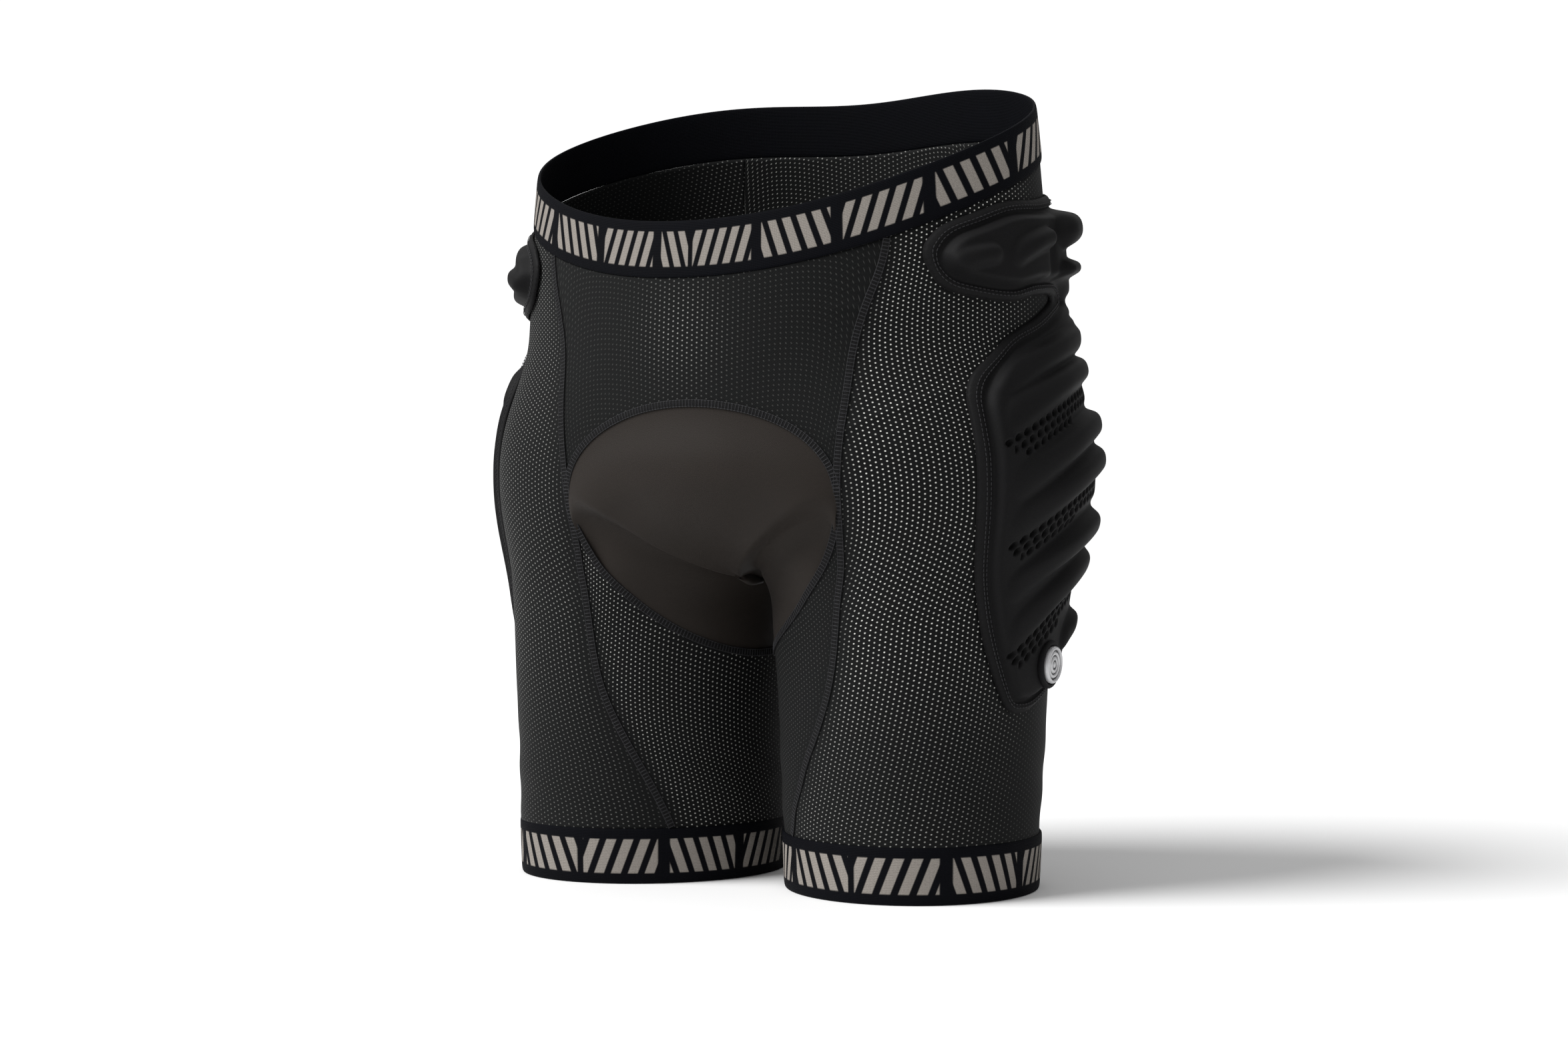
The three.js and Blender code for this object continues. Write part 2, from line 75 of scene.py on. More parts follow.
# Side pad in side view: y, height
THIGH_TOP = [(-60, 300), (-49, 308), (-32, 324), (-12, 334), (12, 346), (42, 356), (60, 358)]
THIGH_BOTTOM = [(-60, 196), (-50, 150), (-35, 113), (-22, 107), (-2, 112), (22, 125), (44, 155), (60, 190)]
HIP_TOP = [(-78, 373), (-67, 385), (-52, 393), (-32, 401), (-2, 405), (45, 414), (56, 412)]
HIP_BOTTOM = [(-78, 366), (-70, 351), (-56, 345), (-32, 343), (-10, 348), (20, 349), (40, 338), (56, 330)]
THIGH_ENDS, HIP_ENDS = (-62, 62), (-80, 58)
THIGH_PAD, HIP_PAD, PAD_EDGE, PAD_GAP = 7.5, 10.0, 3.2, 0.65
BORDER, BORDER_RISE, BORDER_STITCH_DEPTHS = 7.6, 4.6, (3.5, 5.4)
RIB, RIB_WIDTH, RIB_BACK, RIB_BEND = 6.5, 15.0, 51, 1.7
# Ribs from the top: front end y, height there, rise towards the back
RIBS = [(-48, 293, 31), (-48, 272, 34), (-46, 236, 38), (-44, 215, 39), (-42, 177, 42), (-39, 151, 46)]
# Short bars: front y, back y, height at the front, rise, width, how far it stands proud
SHORT_BARS = {
    "hip_bar_front": (-66, -42, 362, 7, 12, 4.5),
    "hip_bar_middle": (-36, -3, 367, 14, 13, 6.5),
    "hip_knob_upper": (4, 48, 385, 7, 22, 11),
    "hip_knob_lower": (7, 48, 363, 5, 11, 8),
    "thigh_rib_7": (12, 42, 146, 16, 12, 6),
}
DIMPLE_PITCH, DIMPLE_ROW, DIMPLE_RADIUS, DIMPLE_DEPTH = 5.6, 5.0, 2.2, 2.6
TWIST = {1: -10, -1: 14}  # how far the worn shorts are turned round each thigh
TWIST_FULL_BELOW, TWIST_NONE_ABOVE = 262, 352
BADGE_Y, BADGE_HEIGHT = -3, 135
# Badge and its surround: radius, height above the pad's face, and 1 where it is dark
SURROUND = [
    (0, -1.6), (14.0, -1.6), (14.0, 1.2), (13.5, 1.9), (12.2, 2.3), (11.3, 2.0), (11.0, 0.9), (0, 0.9),
]
BADGE = [
    (0, 1.2), (10.8, 1.2), (10.8, 3.4), (10.4, 4.2), (9.7, 4.5), (9.0, 4.3), (8.8, 3.6), (8.7, 3.0, 1),
    (7.8, 3.0, 1), (7.7, 3.5), (7.2, 3.9), (6.2, 3.9), (5.8, 3.6), (5.7, 3.1, 1), (5.0, 3.1, 1), (4.9, 3.6),
    (3.6, 4.0), (3.0, 3.9), (2.8, 3.2, 1), (1.9, 3.2, 1), (1.7, 3.8), (0, 4.0),
]
SIDES = (("left", 1), ("right", -1))
STRIDES, HALVINGS, SETTLES, ESTIMATES = 40, 24, 12, 8  # turns of each repeated working


def along(stations, position, column=1):
    """Smooth curve through stations: a cubic between each two, with slopes from their neighbours."""
    table = np.array(stations, float)
    knots, values = table[:, 0], table[:, column]
    last = len(knots) - 1
    index = np.arange(last + 1)
    after, before = np.minimum(index + 1, last), np.maximum(index - 1, 0)
    slopes = (values[after] - values[before]) / (knots[after] - knots[before])
    x = np.clip(np.asarray(position, float), knots[0], knots[-1])
    i = np.clip(np.searchsorted(knots, x, side="left") - 1, 0, last - 1)
    span = knots[i + 1] - knots[i]
    t = (x - knots[i]) / span
    start = values[i] * (1 + 2 * t) * (1 - t) ** 2 + slopes[i] * span * t * (1 - t) ** 2
    end = values[i + 1] * t * t * (3 - 2 * t) - slopes[i + 1] * span * t * t * (1 - t)
    return start + end


def smooth_min(a, b, blend):
    """Smaller of two fields, rounded where they are within the blend of each other."""
    h = np.maximum(blend - np.abs(a - b), 0) / blend
    return np.minimum(a, b) - h * h * blend / 4


def smooth_max(a, b, blend):
    """Larger of two fields, rounded where they are within the blend of each other."""
    return -smooth_min(-a, -b, blend)


def smooth_step(t):
    """Eased 0 to 1: 3t squared less 2t cubed."""
    t = np.clip(t, 0, 1)
    return t * t * (3 - 2 * t)


def lerp(a, b, t):
    """Value a share t of the way from a to b."""
    return a + (b - a) * t


def leg_field(side, p):
    """Distance outside one leg's tapering ellipse, which is turned outwards."""
    dx = side * p[..., 0] - along(LEG, p[..., 2], 1)
    dy = p[..., 1] - along(LEG, p[..., 2], 2)
    short, long = along(LEG, p[..., 2], 3), along(LEG, p[..., 2], 4)
    across = dx * math.cos(LEG_TURN) + dy * math.sin(LEG_TURN)
    length = dx * math.sin(LEG_TURN) - dy * math.cos(LEG_TURN)
    outside = (np.hypot(across / short, length / long) - 1) * short
    return smooth_max(outside, p[..., 2] - LEG_TOP, LEG_TOP_BLEND)


def body_field(p):
    """Negative inside the body, positive outside: torso and two legs, smoothly joined."""
    half, front, back = (along(TORSO, p[..., 2], k) for k in (1, 2, 3))
    depth = (back - front) / 2
    outside = (np.hypot(p[..., 0] / half, (p[..., 1] - (front + back) / 2) / depth) - 1) * depth
    torso = smooth_max(outside, TORSO_FLOOR - p[..., 2], TORSO_FLOOR_BLEND)
    legs = smooth_min(leg_field(1, p), leg_field(-1, p), LEG_TO_LEG)
    return smooth_min(torso, legs, LEG_TO_TORSO)


def unit(v):
    """Vectors divided by their lengths."""
    return v / np.maximum(np.linalg.norm(v, axis=-1, keepdims=True), 1e-12)


def normals_at(p, step=0.5):
    """Outward normal: the field's slope by central differences."""
    parts = []
    for axis in range(3):
        shift = np.zeros(3)
        shift[axis] = step
        parts.append(body_field(p + shift) - body_field(p - shift))
    return unit(np.stack(parts, -1))


def cast(start, direction, stride=7.0):
    """First surface point along each ray from inside: stride out, then halve the last stride."""
    start, direction = np.broadcast_arrays(np.asarray(start, float), np.asarray(direction, float))
    near = np.zeros(start.shape[:-1])
    moving = np.ones(near.shape, bool)
    for _ in range(STRIDES):
        ahead = body_field(start + direction * (near + stride)[..., None]) < 0
        moving &= ahead
        near = np.where(moving, near + stride, near)
    far = near + stride
    for _ in range(HALVINGS):
        middle = (near + far) / 2
        inside = body_field(start + direction * middle[..., None]) < 0
        near, far = np.where(inside, middle, near), np.where(inside, far, middle)
    return start + direction * near[..., None]


def settle(p):
    """Slides points near the surface onto it, along its own normal."""
    for _ in range(SETTLES):
        p = p - normals_at(p) * (body_field(p) * 0.8)[..., None]
    return p


def triple(x, y, z):
    """Points or directions from their three parts, which may be arrays or numbers."""
    return np.stack(np.broadcast_arrays(x, y, z), -1).astype(float)


def axis_x(z):
    """Distance of a leg's axis from the middle, easing to nothing up in the torso."""
    t = (z - LEG_AXIS_UP_TO) / (TORSO_AXIS_FROM - LEG_AXIS_UP_TO)
    return LEG[0][1] * (1 - smooth_step(t))


def around(side, degrees, z):
    """Surface point at an angle (0 ahead, 90 outwards, 180 behind) and a height."""
    a = np.radians(degrees)
    return cast(triple(side * axis_x(z), 0, z), triple(side * np.sin(a), -np.cos(a), 0))


def from_side(side, y, z):
    """Surface point in side view, moved forwards or back by the twist in the worn leg."""
    turned = y + TWIST[side] * smooth_step((TWIST_NONE_ABOVE - z) / (TWIST_NONE_ABOVE - TWIST_FULL_BELOW))
    return cast(triple(side * 40, turned, z), triple(side, 0, 0))


def from_front(facing, x, z):
    """Surface point in front view, on the front (-1) or the back (1)."""
    return cast(triple(x, 0, z), triple(0, facing, 0))


def waist_lower(degrees):
    """Lower edge of the waistband: mean height plus three cosines of the angle round the waist."""
    a = np.radians(degrees)
    even = (WAIST_FRONT + WAIST_BACK) / 2
    mean = (WAIST_SIDE + even) / 2
    tilt = (WAIST_FRONT - WAIST_BACK) / 2 - WAIST_DIP
    return mean + tilt * np.cos(a) + (even - mean) * np.cos(2 * a) + WAIST_DIP * np.cos(3 * a)


def side_degrees(u, z):
    """Angle a share u of the way from the front seam to the back seam round the outside."""
    return lerp(along(FRONT_SEAM, z), along(BACK_SEAM, z), u)


def inner_degrees(w, z):
    """Angle a share w of the way from the front seam to the back seam round the inside."""
    return lerp(along(FRONT_SEAM, z), along(BACK_SEAM, z) - 360, w)


def side_top(u):
    """Height where the side panel meets the waistband, by repeated estimate."""
    z = np.full(np.shape(u), float(WAIST_SIDE))
    for _ in range(ESTIMATES):
        z = waist_lower(side_degrees(u, z))
    return z


def seam_x(stations, z):
    """How far a seam lies from the middle at a height."""
    return around(1, along(stations, z), z)[..., 0]


def insert_edge(w):
    """Lower edge of the insert on a leg: two quarter ellipses that meet at the lowest point.

    Gives the share of the way round the inner leg and the height."""
    front = w < INSERT_LOWEST_AT
    reach = np.where(front, INSERT_LOWEST_AT, 1 - INSERT_LOWEST_AT)
    rise = np.where(front, INSERT_CORNER_FRONT, INSERT_CORNER_BACK) - INSERT_LOWEST
    a = np.where(front, w, 1 - w) / reach * (np.pi / 2)
    share = reach * (1 - np.cos(a))
    return np.where(front, share, 1 - share), INSERT_LOWEST + rise * (1 - np.sin(a))


def insert_arch(stations, share):
    """Edge of the insert across the front or back: a half ellipse from seam to seam."""
    front = stations is FRONT_SEAM
    corner = INSERT_CORNER_FRONT if front else INSERT_CORNER_BACK
    top = INSERT_FRONT_TOP if front else INSERT_BACK_TOP
    return lerp(corner, top, np.sqrt(np.clip(1 - share * share, 0, 1)))


def across_at(u):
    """Share across from -1 to 1, closer together towards the seams."""
    return np.sin((2 * u - 1) * (np.pi / 2))


def panel_point(stations, across, up):
    """Front or back panel: across from seam to seam, up from the insert to the waistband."""
    facing = -1 if stations is FRONT_SEAM else 1
    top = np.full(np.shape(across), float(WAIST_FRONT if facing < 0 else WAIST_BACK))
    for _ in range(ESTIMATES):
        p = from_front(facing, across * seam_x(stations, top), top)
        top = waist_lower(np.degrees(np.arctan2(np.abs(p[..., 0]), -p[..., 1])))
    z = lerp(insert_arch(stations, across), top, up)
    return from_front(facing, across * seam_x(stations, z), z)


def insert_middle(v):
    """Middle line of the insert: rays fanning from inside, front top to back top."""
    hub = triple(0, 0, INSERT_HUB)
    start = from_front(-1, 0, INSERT_FRONT_TOP) - hub
    end = from_front(1, 0, INSERT_BACK_TOP) - hub
    first = math.atan2(start[2], -start[1])
    last = math.atan2(end[2], -end[1]) - (2 * math.pi if end[2] > 0 else 0)
    a = lerp(first, last, v)
    return cast(hub, triple(0, -np.cos(a), np.sin(a)))


def insert_point(across, v):
    """Insert: its four edges blended across the patch, then settled on the surface."""
    side, w = np.where(across < 0, -1, 1), np.abs(across)[..., None]
    share, low = insert_edge(v)
    leg_edge = around(side, inner_degrees(share, low), low)
    edges = []
    for stations, facing in ((FRONT_SEAM, -1), (BACK_SEAM, 1)):
        z = insert_arch(stations, across)
        edges.append(from_front(facing, across * seam_x(stations, z), z))
    corners = []
    for end in (0.0, 1.0):
        ends = np.full(np.shape(v), end)
        share, z = insert_edge(ends)
        corner = around(side, inner_degrees(share, z), z)
        corners.append(lerp(insert_middle(ends), corner, w))
    lengthways = lerp(insert_middle(v), leg_edge, w)
    crossways = lerp(edges[0], edges[1], v[..., None])
    return settle(lengthways + crossways - lerp(corners[0], corners[1], v[..., None]))


# The drawn surface is centred like the frame: the seat's rearmost point fixes the shift.
rearmost = from_front(1, np.zeros(121), np.linspace(INSERT_BACK_TOP, 300, 121))[:, 1].max()
SHIFT_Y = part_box("seat_panel")[1][1] / MM - rearmost


# ---- Meshes ----

def grid(columns, rows):
    """Two even parameters from 0 to 1, across and up."""
    u, v = np.meshgrid(np.linspace(0, 1, columns + 1), np.linspace(0, 1, rows + 1))
    return u, v


def quads(rows, columns, ring=False, base=0):
    """Faces of a grid of rows by columns of points; a ring also joins its last column to its first."""
    i = np.arange(columns if ring else columns - 1)
    j = np.arange(rows - 1)[:, None]
    a = j * columns + i
    b = j * columns + (i + 1) % columns
    return np.stack([a, b, b + columns, a + columns], -1).reshape(-1, 4) + base


def build(name, points, faces, uv=None, **attributes):
    """Makes an object from points in millimetres, faces, one uv pair a point in metres, and any
    named values, one a point, which its material may read."""
    points = np.asarray(points, float).reshape(-1, 3)
    mesh = bpy.data.meshes.new(name)
    placed = (points + (0, SHIFT_Y, 0)) * MM
    mesh.from_pydata(placed.tolist(), [], faces if isinstance(faces, list) else faces.tolist())
    if uv is not None:
        layer = mesh.uv_layers.new(name="cloth")
        index = np.zeros(len(mesh.loops), int)
        mesh.loops.foreach_get("vertex_index", index)
        layer.data.foreach_set("uv", np.asarray(uv, float).reshape(-1, 2)[index].ravel())
    for key, values in attributes.items():
        mesh.attributes.new(key, "FLOAT", "POINT").data.foreach_set("value", np.ravel(values).astype(float))
    mesh.polygons.foreach_set("use_smooth", [True] * len(mesh.polygons))
    mesh.update()
    piece = bpy.data.objects.new(name, mesh)
    bpy.context.scene.collection.objects.link(piece)
    return piece


def run_lengths(p):
    """Distances along the rows and up the columns of a grid of points, in metres."""
    across = np.zeros(p.shape[:2])
    across[:, 1:] = np.cumsum(np.linalg.norm(np.diff(p, axis=1), axis=-1), axis=1)
    across -= across[:, -1:] / 2
    up = np.zeros(p.shape[:2])
    up[1:] = np.cumsum(np.linalg.norm(np.diff(p, axis=0), axis=-1), axis=0)
    return np.stack([across, up], -1) * MM


def finish_piece(piece, finish, slot, *nodes):
    """Gives a piece its material and its body, and hides the CAD nodes that it stands for. The slot is not
    used.
    """
    piece.data.materials.append(finish)
    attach(piece, "root")
    if nodes:
        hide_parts(*nodes)
    return piece


def relief(p):
    """Folds of the worn fabric, in millimetres off the body surface.

    Sine creases fan out from the crotch, soft sine waves ring the thighs and the hems, and two
    fine bell-shaped ridges cross the front of the left thigh, where the shorts were folded."""
    x, y, z = np.abs(p[..., 0]), p[..., 1], p[..., 2]
    front = smooth_step((-y - 10) / 60)
    reach = np.exp(-((z - 196) / 46) ** 2) * np.exp(-((x - 52) / 42) ** 2)
    fan = np.sin((z * 0.62 + x * 0.42) * 0.145) * CREASE
    soft = np.sin(z * 0.047 + p[..., 0] * 0.021) * np.sin(z * 0.019 + y * 0.03) * WAVE
    hem = np.sin(z * 0.2 + p[..., 0] * 0.05 + y * 0.06) * np.exp(-((z - 60) / 34) ** 2) * HEM_WAVE
    left_thigh = smooth_step((p[..., 0] - 78) / 14) * front
    ridges = np.exp(-((z - 338) / 2.4) ** 2) + np.exp(-((z - 265 - (x - 85) * 0.42) / 2.4) ** 2)
    return fan * reach * front + soft + hem + ridges * left_thigh * RIDGE


def pouch(across, v):
    """Fullness of the insert in front, in millimetres: a bulge that narrows evenly towards the
    crotch and ends in a crisp step, with a shallow hollow beside it."""
    width = 1.08 - 0.94 * np.clip((v - 0.02) / 0.36, 0, 1)
    length = smooth_step(v / 0.12) * (1 - smooth_step((v - 0.38) / 0.1))
    beyond = np.abs(across) - width
    bulge = 1 - smooth_step(beyond / 0.13 + 0.5)
    hollow = np.exp(-((beyond - 0.16) / 0.1) ** 2)
    return length * (POUCH * bulge - POUCH_HOLLOW * hollow)


def panel(name, place, columns, rows, finish, slot, thickness=1.1, open_at=None, fullness=None):
    """One stretched panel: a single sheet on the body surface with its folds, given a thickness."""
    u, v = grid(columns, rows)
    p = place(u, v)
    n = normals_at(p)
    # Painted light seen through the knit's holes, one value a point, read by the knit's colour
    open_ = np.zeros(u.shape) if open_at is None else np.clip(open_at(u, v, p), 0, 1)
    full = 0 if fullness is None else fullness(across_at(u), v)
    p = p + n * (relief(p) - PANEL_SUNK + full)[..., None]
    piece = build(name, p, quads(rows + 1, columns + 1), run_lengths(p), open=open_)
    outward = np.einsum("ijk,ijk->ij", np.cross(np.gradient(p, axis=1), np.gradient(p, axis=0)), n)
    if outward.mean() < 0:
        piece.data.flip_normals()
    solid = piece.modifiers.new("thickness", "SOLIDIFY")
    solid.thickness = thickness * MM
    solid.offset = -1
    finish_piece(piece, finish, slot, name)
    lengths = run_lengths(p)
    return piece


def rounded(wave, power):
    """A wave raised to a power below 1, its sign kept, which squares off a section."""
    return np.sign(wave) * np.abs(wave) ** power


def band(name, ring_point, columns):
    """Elastic band: a rounded oblong section carried round the body, its offsets level.

    The section's height is half a band times 1 plus a rounded sine, its offset a rounded cosine."""
    turn = np.linspace(0, 2 * np.pi, 28, endpoint=False)
    section_v = BAND / 2 + (BAND / 2) * rounded(np.sin(turn), 0.28)
    section_o = -BAND_SUNK + BAND_HALF * rounded(np.cos(turn), 0.5)
    share = np.arange(columns) / columns
    degrees = 360 * share
    p, uv, inside = [], [], []
    length = None
    for v, o in zip(section_v, section_o):
        q = ring_point(degrees, v)
        n = normals_at(q)
        n[..., 2] = 0
        q = q + unit(n) * o
        p.append(q)
        inside.append(np.full(columns + 1, float(o < -2 * BAND_SUNK)))
        if length is None:
            length = np.linalg.norm(np.roll(q, -1, 0) - q, axis=-1).sum() * MM
        uv.append(np.stack([share * length, np.full(columns, v * MM)], -1))
    p, uv = np.array(p), np.array(uv)
    p = np.concatenate([p, p[:1]])
    uv = np.concatenate([uv, uv[:1]])
    p = np.concatenate([p, p[:, :1]], axis=1)
    seam = uv[:, :1].copy()
    seam[..., 0] += length
    uv = np.concatenate([uv, seam], axis=1)
    inside.append(inside[0])
    piece = build(name, p, quads(p.shape[0], p.shape[1])[:, ::-1], uv, inside=inside)
    tidied(piece)
    return finish_piece(piece, ELASTIC, "elastic", name)


def tidied(piece):
    """Merges doubled points, drops points no face uses, and turns every face outwards."""
    work = bmesh.new()
    work.from_mesh(piece.data)
    bmesh.ops.delete(work, geom=[v for v in work.verts if not v.link_faces], context="VERTS")
    bmesh.ops.remove_doubles(work, verts=work.verts, dist=1e-6)
    bmesh.ops.recalc_face_normals(work, faces=work.faces)
    work.to_mesh(piece.data)
    work.free()


# ---- Shader maths ----

def operator(operation, reflected=False):
    """Method of a shader value that adds one Math node; reflected, the value itself comes last."""
    def method(self, *other):
        values = (*other, self) if reflected else (self, *other)
        return node(self.tree, "ShaderNodeMath", {"operation": operation}, *values)
    return method


class Socket:
    """A shader value: Python operators on it add Math nodes."""

    __add__, __radd__ = operator("ADD"), operator("ADD", reflected=True)
    __sub__, __rsub__ = operator("SUBTRACT"), operator("SUBTRACT", reflected=True)
    __mul__, __rmul__ = operator("MULTIPLY"), operator("MULTIPLY", reflected=True)
    __truediv__, least = operator("DIVIDE"), operator("MINIMUM")
    fract, floor, abs = operator("FRACT"), operator("FLOOR"), operator("ABSOLUTE")
    sin, sqrt = operator("SINE"), operator("SQRT")

    def __init__(self, tree, link):
        self.tree, self.link = tree, link

    def below(self, edge, soft):
        """1 well below the edge, 0 well above it."""
        return node(self.tree, "ShaderNodeMapRange", {"clamp": True}, Value=self,
                    **{"From Min": edge - soft, "From Max": edge + soft, "To Min": 1.0, "To Max": 0.0})


def feed(tree, socket, value):
    """Links a shader value to a socket, or sets the socket to a plain value."""
    if isinstance(value, Socket):
        tree.links.new(value.link, socket)
    else:
        socket.default_value = value


def node(tree, kind, settings=None, *values, out=0, **named):
    """Adds one node: its settings first, then the values or links of its sockets."""
    made = tree.nodes.new(kind)
    for key, value in (settings or {}).items():
        setattr(made, key, value)
    pairs = list(zip(made.inputs, values)) + [(made.inputs[key], value) for key, value in named.items()]
    for socket, value in pairs:
        feed(tree, socket, value)
    return Socket(tree, made.outputs[out])


def mix(tree, share, one, two):
    """Colour between two colours."""
    made = tree.nodes.new("ShaderNodeMix")
    made.data_type = "RGBA"
    for index, value in ((0, share), (6, one), (7, two)):
        feed(tree, made.inputs[index], value)
    return Socket(tree, made.outputs[2])


def noise(tree, place, scale, detail=3.0):
    """Soft noise from 0 to 1."""
    return node(tree, "ShaderNodeTexNoise", None, Vector=place, Scale=scale, Detail=detail)


def material(name, sheen=0.0, coat=0.0, gloss=0.2):
    """New material with its tree, its shader and its output joined up."""
    made = bpy.data.materials.new(name)
    made.use_nodes = True
    tree = made.node_tree
    shader = tree.nodes["Principled BSDF"]
    join(tree, shader, Sheen_Weight=sheen, Coat_Weight=coat, Specular_IOR_Level=gloss)
    return made, tree, shader


def join(tree, shader, **links):
    """Values or links of the shader's sockets, by name."""
    for key, value in links.items():
        feed(tree, shader.inputs[key.replace("_", " ")], value)


def bumped(tree, height, distance, strength=1.0):
    """Normal from a height, whose full depth is a distance in metres."""
    return node(tree, "ShaderNodeBump", None, Height=height, Distance=distance, Strength=strength)


def cloth_coordinates(tree):
    """The piece's own uv in metres, as a vector and as its two parts."""
    uv = node(tree, "ShaderNodeUVMap", {"uv_map": "cloth"})
    split = tree.nodes.new("ShaderNodeSeparateXYZ")
    tree.links.new(uv.link, split.inputs[0])
    return uv, Socket(tree, split.outputs[0]), Socket(tree, split.outputs[1])


def own_value(tree, name):
    """A named value that the piece carries on its points; 0 where it has none."""
    return node(tree, "ShaderNodeAttribute", {"attribute_name": name}, out=2)


def object_place(tree):
    """Place on the piece in metres."""
    return node(tree, "ShaderNodeTexCoord", None, out=3)


def open_knit():
    """Black stretch knit with a staggered lattice of small holes, painted pale as light shining through
    them. Each panel carries how strongly that painted light shows from point to point."""
    made, tree, shader = material("open_knit", sheen=0.02, gloss=0.12)
    uv, u, v = cloth_coordinates(tree)
    pitch, row = 6.4e-3, 1.45e-3

    def lattice(shift):
        x = ((u / pitch + shift).fract() - 0.5) * (pitch * 1e3)
        y = ((v / (2 * row) + shift).fract() - 0.5) * (2 * row * 1e3)
        return (x * x * 0.8 + y * y * 1.15).sqrt()

    dot = lattice(0.0).least(lattice(0.5)).below(0.44, 0.15)
    cloudy = noise(tree, object_place(tree), 9.0, 1.0)
    tuft = noise(tree, uv, 1900.0, 2.0)
    uneven = noise(tree, uv, 420.0, 1.0)
    knit = ((u * 5200).sin() * (v * 4300).sin()) * 0.5 + 0.5
    base = mix(tree, tuft * 0.7 + cloudy * 0.3, (0.0014, 0.0015, 0.0016, 1), (0.0066, 0.007, 0.0071, 1))
    # Painted light in the holes: pale where the panel's value is high, near black where it is low
    pale = mix(tree, own_value(tree, "open") * (cloudy * 0.5 + uneven * 0.9 + 0.25),
               (0.008, 0.0085, 0.0085, 1), (0.74, 0.74, 0.7, 1))
    height = knit * 0.35 + tuft * 0.3 - dot * 0.9
    join(tree, shader, Base_Color=mix(tree, dot, base, pale), Roughness=0.66 + cloudy * 0.18,
         Normal=bumped(tree, height, 0.00025, 0.7))
    return made


def elastic():
    """Dark navy woven elastic with fine ribs; its outer face has groups of broad slanted taupe
    bars, which lean one way in one group and the other way in the next."""
    made, tree, shader = material("woven_elastic", sheen=0.0, gloss=0.06)
    uv, u, v = cloth_coordinates(tree)
    group = 0.052
    along_group = (u / group).fract()
    lean = ((u / (2 * group)).fract() * 2).floor() * 2 - 1
    middle = v * 1e3 - BAND / 2
    slanted = (along_group * (group * 1e3) + middle * lean * 0.36) / 9.6
    bar = (slanted.fract() - 0.5).abs().below(0.29, 0.03)
    wide = middle.abs().below(10.2, 0.35)
    outside = 1 - own_value(tree, "inside")
    margin = (along_group - 0.5).abs().below(0.43, 0.008)
    motif = bar * wide * margin * outside
    rib = (v * (2 * math.pi / 0.00095)).sin() * 0.5 + 0.5
    warp = (u * (2 * math.pi / 0.0007)).sin() * 0.5 + 0.5
    fuzz = noise(tree, object_place(tree), 60.0)
    worn = noise(tree, uv, 1300.0, 2.0)
    ground = mix(tree, fuzz, (0.0012, 0.0013, 0.0022, 1), (0.003, 0.0033, 0.0052, 1))
    yarn = mix(tree, worn * 0.7 + warp * 0.3, (0.15, 0.135, 0.12, 1), (0.36, 0.33, 0.3, 1))
    height = rib * 0.6 + warp * 0.25 + motif * 0.5
    join(tree, shader, Base_Color=mix(tree, motif, ground, yarn), Roughness=0.7 + fuzz * 0.15,
         Normal=bumped(tree, height, 0.0003, 0.6))
    return made


def stretch_jersey():
    """Smooth grey-brown stretch jersey with a fine knit and a slight sheen."""
    made, tree, shader = material("stretch_jersey", sheen=0.03, gloss=0.1)
    uv, u, v = cloth_coordinates(tree)
    cloudy = noise(tree, object_place(tree), 14.0)
    knit = (u * 7400).sin() * (v * 6100).sin()
    fine = noise(tree, uv, 1400.0, 2.0)
    colour = mix(tree, fine * 0.6 + cloudy * 0.4, (0.011, 0.0088, 0.0074, 1), (0.03, 0.0245, 0.021, 1))
    join(tree, shader, Base_Color=colour, Roughness=0.5 + fine * 0.14,
         Normal=bumped(tree, knit * 0.4 + fine, 0.00012, 0.5))
    return made


def moulded_foam():
    """Matt black fabric face pressed onto foam: a fine grain, paler worn patches, and painted shade that
    darkens the hollows.
    """
    made, tree, shader = material("moulded_foam", sheen=0.01, gloss=0.1)
    place = object_place(tree)
    grain = noise(tree, place, 1500.0, 2.0)
    cloudy = noise(tree, place, 22.0)
    face = mix(tree, grain * 0.6 + cloudy * 0.4, (0.0022, 0.0022, 0.0024, 1), (0.0105, 0.0102, 0.0108, 1))
    # Painted shade: near black where the piece's hollow value is 1, inside the dimples
    colour = mix(tree, own_value(tree, "hollow"), face, (0.0006, 0.0006, 0.0007, 1))
    join(tree, shader, Base_Color=colour, Roughness=0.55 + cloudy * 0.2,
         Normal=bumped(tree, grain, 0.00018, 0.6))
    return made


def mottled(name, dark, light, scale, roughness, bump=0.0, depth=0.5, sheen=0.0):
    """Plain finish whose tone wanders between two colours, with a bump in metres that follows it."""
    made, tree, shader = material(name, sheen=sheen)
    tone = noise(tree, object_place(tree), scale)
    join(tree, shader, Base_Color=mix(tree, tone, (*dark, 1), (*light, 1)), Roughness=roughness)
    if bump:
        join(tree, shader, Normal=bumped(tree, tone, bump, depth))
    return made


def silver_plastic():
    """Dull silver plastic with a faint mottle, near black in its recessed rings."""
    made, tree, shader = material("silver_plastic", coat=0.3, gloss=0.5)
    place = object_place(tree)
    mottle = noise(tree, place, 420.0)
    bright = mix(tree, mottle, (0.46, 0.46, 0.47, 1), (0.66, 0.66, 0.67, 1))
    # Near black where the piece's hollow value is 1: the badge's recessed rings
    join(tree, shader, Base_Color=mix(tree, own_value(tree, "hollow"), bright, (0.03, 0.03, 0.032, 1)),
         Metallic=0.3, Roughness=0.34 + mottle * 0.12, Normal=bumped(tree, mottle, 0.00004, 0.4))
    return made


